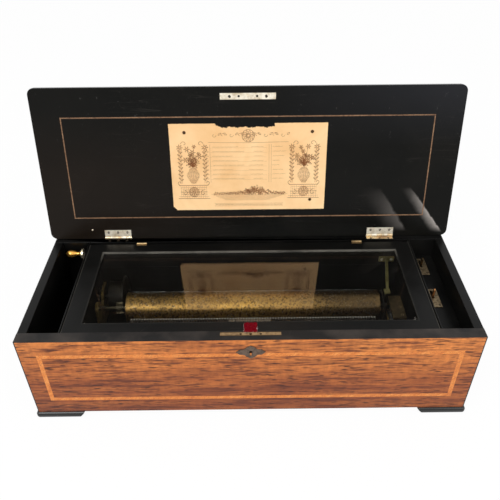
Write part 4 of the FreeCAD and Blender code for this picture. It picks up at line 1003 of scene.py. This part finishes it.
def makeScrew():
    # countersunk head with its slot along X and radius 1, almost flush, scaled when it is placed
    bpy.ops.mesh.primitive_cylinder_add(vertices=screw["sides"], radius=1, depth=0.5, location=(0, 0, -0.2))
    head = bpy.context.object
    bpy.ops.object.transform_apply()
    mode("EDIT")
    chooseFaces(head, lambda centre, normal: normal.z > 0.9)
    bpy.ops.mesh.inset(thickness=screw["inset"])
    bpy.ops.transform.translate(value=(0, 0, screw["crown"]))
    mode("OBJECT")
    bpy.ops.mesh.primitive_cube_add(size=1, location=(0, 0, 0.25))
    blade = bpy.context.object
    blade.scale = (3, screw["slot"], 2 * screw["depth"])
    bpy.ops.object.transform_apply()
    cut = head.modifiers.new("slot", "BOOLEAN")
    cut.object = blade
    cut.operation = "DIFFERENCE"
    applyAll(head)
    bpy.data.objects.remove(blade)
    return head


def screwsAt(name, pattern, places, normal, radius, material, body, seed):
    spin = random.Random(seed)
    size = Matrix.Diagonal((radius * mm, radius * mm, radius * mm, 1))
    spots = [facing(place, normal, spin.uniform(0, math.pi)) @ size for place in places]
    return copies(pattern, name, spots, material, body)


def lidSpot(x, s):
    return onLid @ Vector((x * mm, s * mm, 0))


pattern = makeScrew()
up = (0, 0, 1)
low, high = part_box("case_hinge_leaves")
hingeX = high.x / mm - 19  # middle of a hinge 38 mm long
lidScrews = [lidSpot(side * (hingeX + step), 8.3) for side in (-1, 1) for step in (-13.5, 0, 13.5)]
screwsAt("lidHingeScrews", pattern, lidScrews, lidOut, 1.7, darkSteel, "lid", 2)
caseScrews = [Vector((side * (hingeX + step) * mm, low.y + 3.2 * mm, rimZ)) for side in (-1, 1)
              for step in (-12.5, 0, 12.5)]
screwsAt("caseHingeScrews", pattern, caseScrews, up, 1.6, darkSteel, "case", 3)
low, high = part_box("link_plate")
plateMiddle = (low + high) / 2
linkS = (plateMiddle - pivot).dot(lidUp) / mm
screwsAt("linkPlateScrews", pattern, [lidSpot(side * 24, linkS) for side in (-1, 1)], lidOut, 1.9, darkSteel,
         "lid", 4)
low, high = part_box("lock")
lockScrews = [Vector((side * 31 * mm, (low.y + high.y) / 2, rimZ + 0.02 * mm)) for side in (-1, 1)]
screwsAt("selvageScrews", pattern, lockScrews, up, 1.5, lockBrass, "case", 5)
for node, name, seed in (("start_plate", "startPlateScrews", 6), ("change_plate", "changePlateScrews", 7)):
    low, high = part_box(node)
    rows = low.y + 3.4 * mm, high.y - 3.4 * mm
    corners = [Vector((high.x - 3.0 * mm, y, high.z + 0.02 * mm)) for y in rows]
    screwsAt(name, pattern, corners, up, 1.5, darkSteel, "case", seed)
low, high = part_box("bridge_stay")
feet = [Vector((x, high.y - 3 * mm, high.z - 4 * mm)) for x in (high.x - 4 * mm, high.x - 18 * mm)]
screwsAt("stayScrews", pattern, feet, (0, -1, 0), 2.0, nickel, "case", 8)
low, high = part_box("governor_cock")
cockSpots = [Vector((high.x - 5 * mm, y, high.z)) for y in (low.y + 6 * mm, low.y + 22 * mm)]
screwsAt("cockScrews", pattern, cockSpots, up, 2.4, glassHinge, "case", 9)
low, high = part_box("escutcheon")
plateNails = [Vector((side * 13.5 * mm, low.y, (low.z + high.z) / 2)) for side in (-1, 1)]
screwsAt("escutcheonPins", pattern, plateNails, (0, -1, 0), 0.7, bronze, "case", 10)
bpy.data.objects.remove(pattern)
print("screws made")

pinning = {"radius": 0.2, "height": 0.85, "taper": 0.8, "sunk": 0.1, "sides": 5, "tracks": 92, "tunes": 8,
           "perTrack": 34, "margin": 5.9}


def makePins():
    low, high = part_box("cylinder_tube")
    axis = (low + high) / 2
    around = (high.z - low.z) / 2
    bpy.ops.mesh.primitive_cone_add(vertices=pinning["sides"], radius1=pinning["radius"] * mm,
                                    radius2=pinning["radius"] * pinning["taper"] * mm,
                                    depth=pinning["height"] * mm)
    pin = bpy.context.object
    cutFaces(pin, lambda centre, normal: normal.z < -0.9)
    shape = [tuple(corner.co) for corner in pin.data.vertices]
    faces = [tuple(face.vertices) for face in pin.data.polygons]
    bpy.data.objects.remove(pin)
    chance = random.Random(11)
    pitch = (high.x - low.x - 2 * pinning["margin"] * mm) / pinning["tracks"]
    corners, sides = [], []
    for track in range(pinning["tracks"]):
        for k in range(pinning["perTrack"]):
            tune = chance.randrange(pinning["tunes"])
            x = low.x + pinning["margin"] * mm + (track + (tune + 0.5) / pinning["tunes"]) * pitch
            turn = Matrix.Rotation(chance.uniform(0, 2 * math.pi), 4, "X")
            rise = around + (pinning["height"] / 2 - pinning["sunk"]) * mm
            place = Matrix.Translation((x, axis.y, axis.z)) @ turn @ Matrix.Translation((0, 0, rise))
            start = len(corners)
            corners += [place @ Vector(corner) for corner in shape]
            sides += [tuple(start + index for index in face) for face in faces]
    mesh = bpy.data.meshes.new("cylinderPinning")
    mesh.from_pydata(corners, [], sides)
    settle(newPiece("cylinderPinning", mesh), steel, "cylinder", 0.8)


makePins()
print("cylinder pinned")


# stage, light and camera

view = {"place": (-2.792 * mm, frontY - 482.409 * mm, 632.46 * mm), "focal": 581.756,
        "middle": (250.202, 273.332), "yaw": 0.326, "pitch": 39.076, "roll": -0.413, "size": 500}
floorLook = {"grey": 0.6, "glow": 1.03, "share": 0.93}
light = {"room": 0.6, "key": ((-1.0, -1.7, 1.9), 1.6, 38.0), "fill": ((1.5, -1.3, 1.2), 1.5, 14.0)}


def seenPlainly():
    # one where a camera, glossy or transmission ray looks
    path = put("LightPath").outputs
    return most(path["Is Camera Ray"], most(path["Is Glossy Ray"], path["Is Transmission Ray"]))


def makeStage():
    bpy.ops.mesh.primitive_plane_add(size=12)
    floor = bpy.context.object
    floor.name = "floor"
    material = bpy.data.materials.new("paleFloor")
    material.use_nodes = True
    bench["tree"] = material.node_tree
    material.node_tree.nodes.clear()
    matt = put("BsdfDiffuse", {"Color": (floorLook["grey"],) * 3 + (1,)})
    glow = put("Emission", {"Color": (1, 1, 1, 1), "Strength": floorLook["glow"]})
    both = put("MixShader", {0: times(seenPlainly(), floorLook["share"]), 1: matt.outputs[0],
                             2: glow.outputs[0]})
    end = put("OutputMaterial")
    give(both.outputs[0], end.inputs["Surface"])
    floor.data.materials.append(material)

    world = bpy.data.worlds.new("room")
    bpy.context.scene.world = world
    world.use_nodes = True
    bench["tree"] = world.node_tree
    background = world.node_tree.nodes["Background"]
    background.inputs["Color"].default_value = (1, 1, 1, 1)
    give(between(seenPlainly(), 0.0, 1.0, light["room"], 1.0), background.inputs["Strength"])

    for name in ("key", "fill"):
        place, size, power = light[name]
        bpy.ops.object.light_add(type="AREA", location=place)
        lamp = bpy.context.object
        lamp.name = name
        lamp.data.size = size
        lamp.data.energy = power
        aim = Vector((0, 0, 0.1)) - Vector(place)
        lamp.rotation_euler = aim.to_track_quat("-Z", "Y").to_euler()


def makeCamera():
    yaw, pitch, roll = (math.radians(view[name]) for name in ("yaw", "pitch", "roll"))
    forward = Vector((math.sin(yaw) * math.cos(pitch), math.cos(yaw) * math.cos(pitch), -math.sin(pitch)))
    right = Vector((math.cos(yaw), -math.sin(yaw), 0))
    up = right.cross(forward)
    side = math.cos(roll) * right + math.sin(roll) * up
    top = -math.sin(roll) * right + math.cos(roll) * up
    turn = Matrix((side, top, -forward)).transposed()
    bpy.ops.object.camera_add()
    camera = bpy.context.object
    camera.matrix_world = Matrix.Translation(view["place"]) @ turn.to_4x4()
    camera.data.sensor_width = 36
    camera.data.lens = view["focal"] / view["size"] * 36
    camera.data.shift_x = (view["size"] / 2 - view["middle"][0]) / view["size"]
    camera.data.shift_y = (view["middle"][1] - view["size"] / 2) / view["size"]
    camera.data.clip_start = 0.01
    bpy.context.scene.camera = camera


makeStage()
makeCamera()
bpy.context.scene.view_settings.view_transform = "Standard"
print("stage, light and camera made")
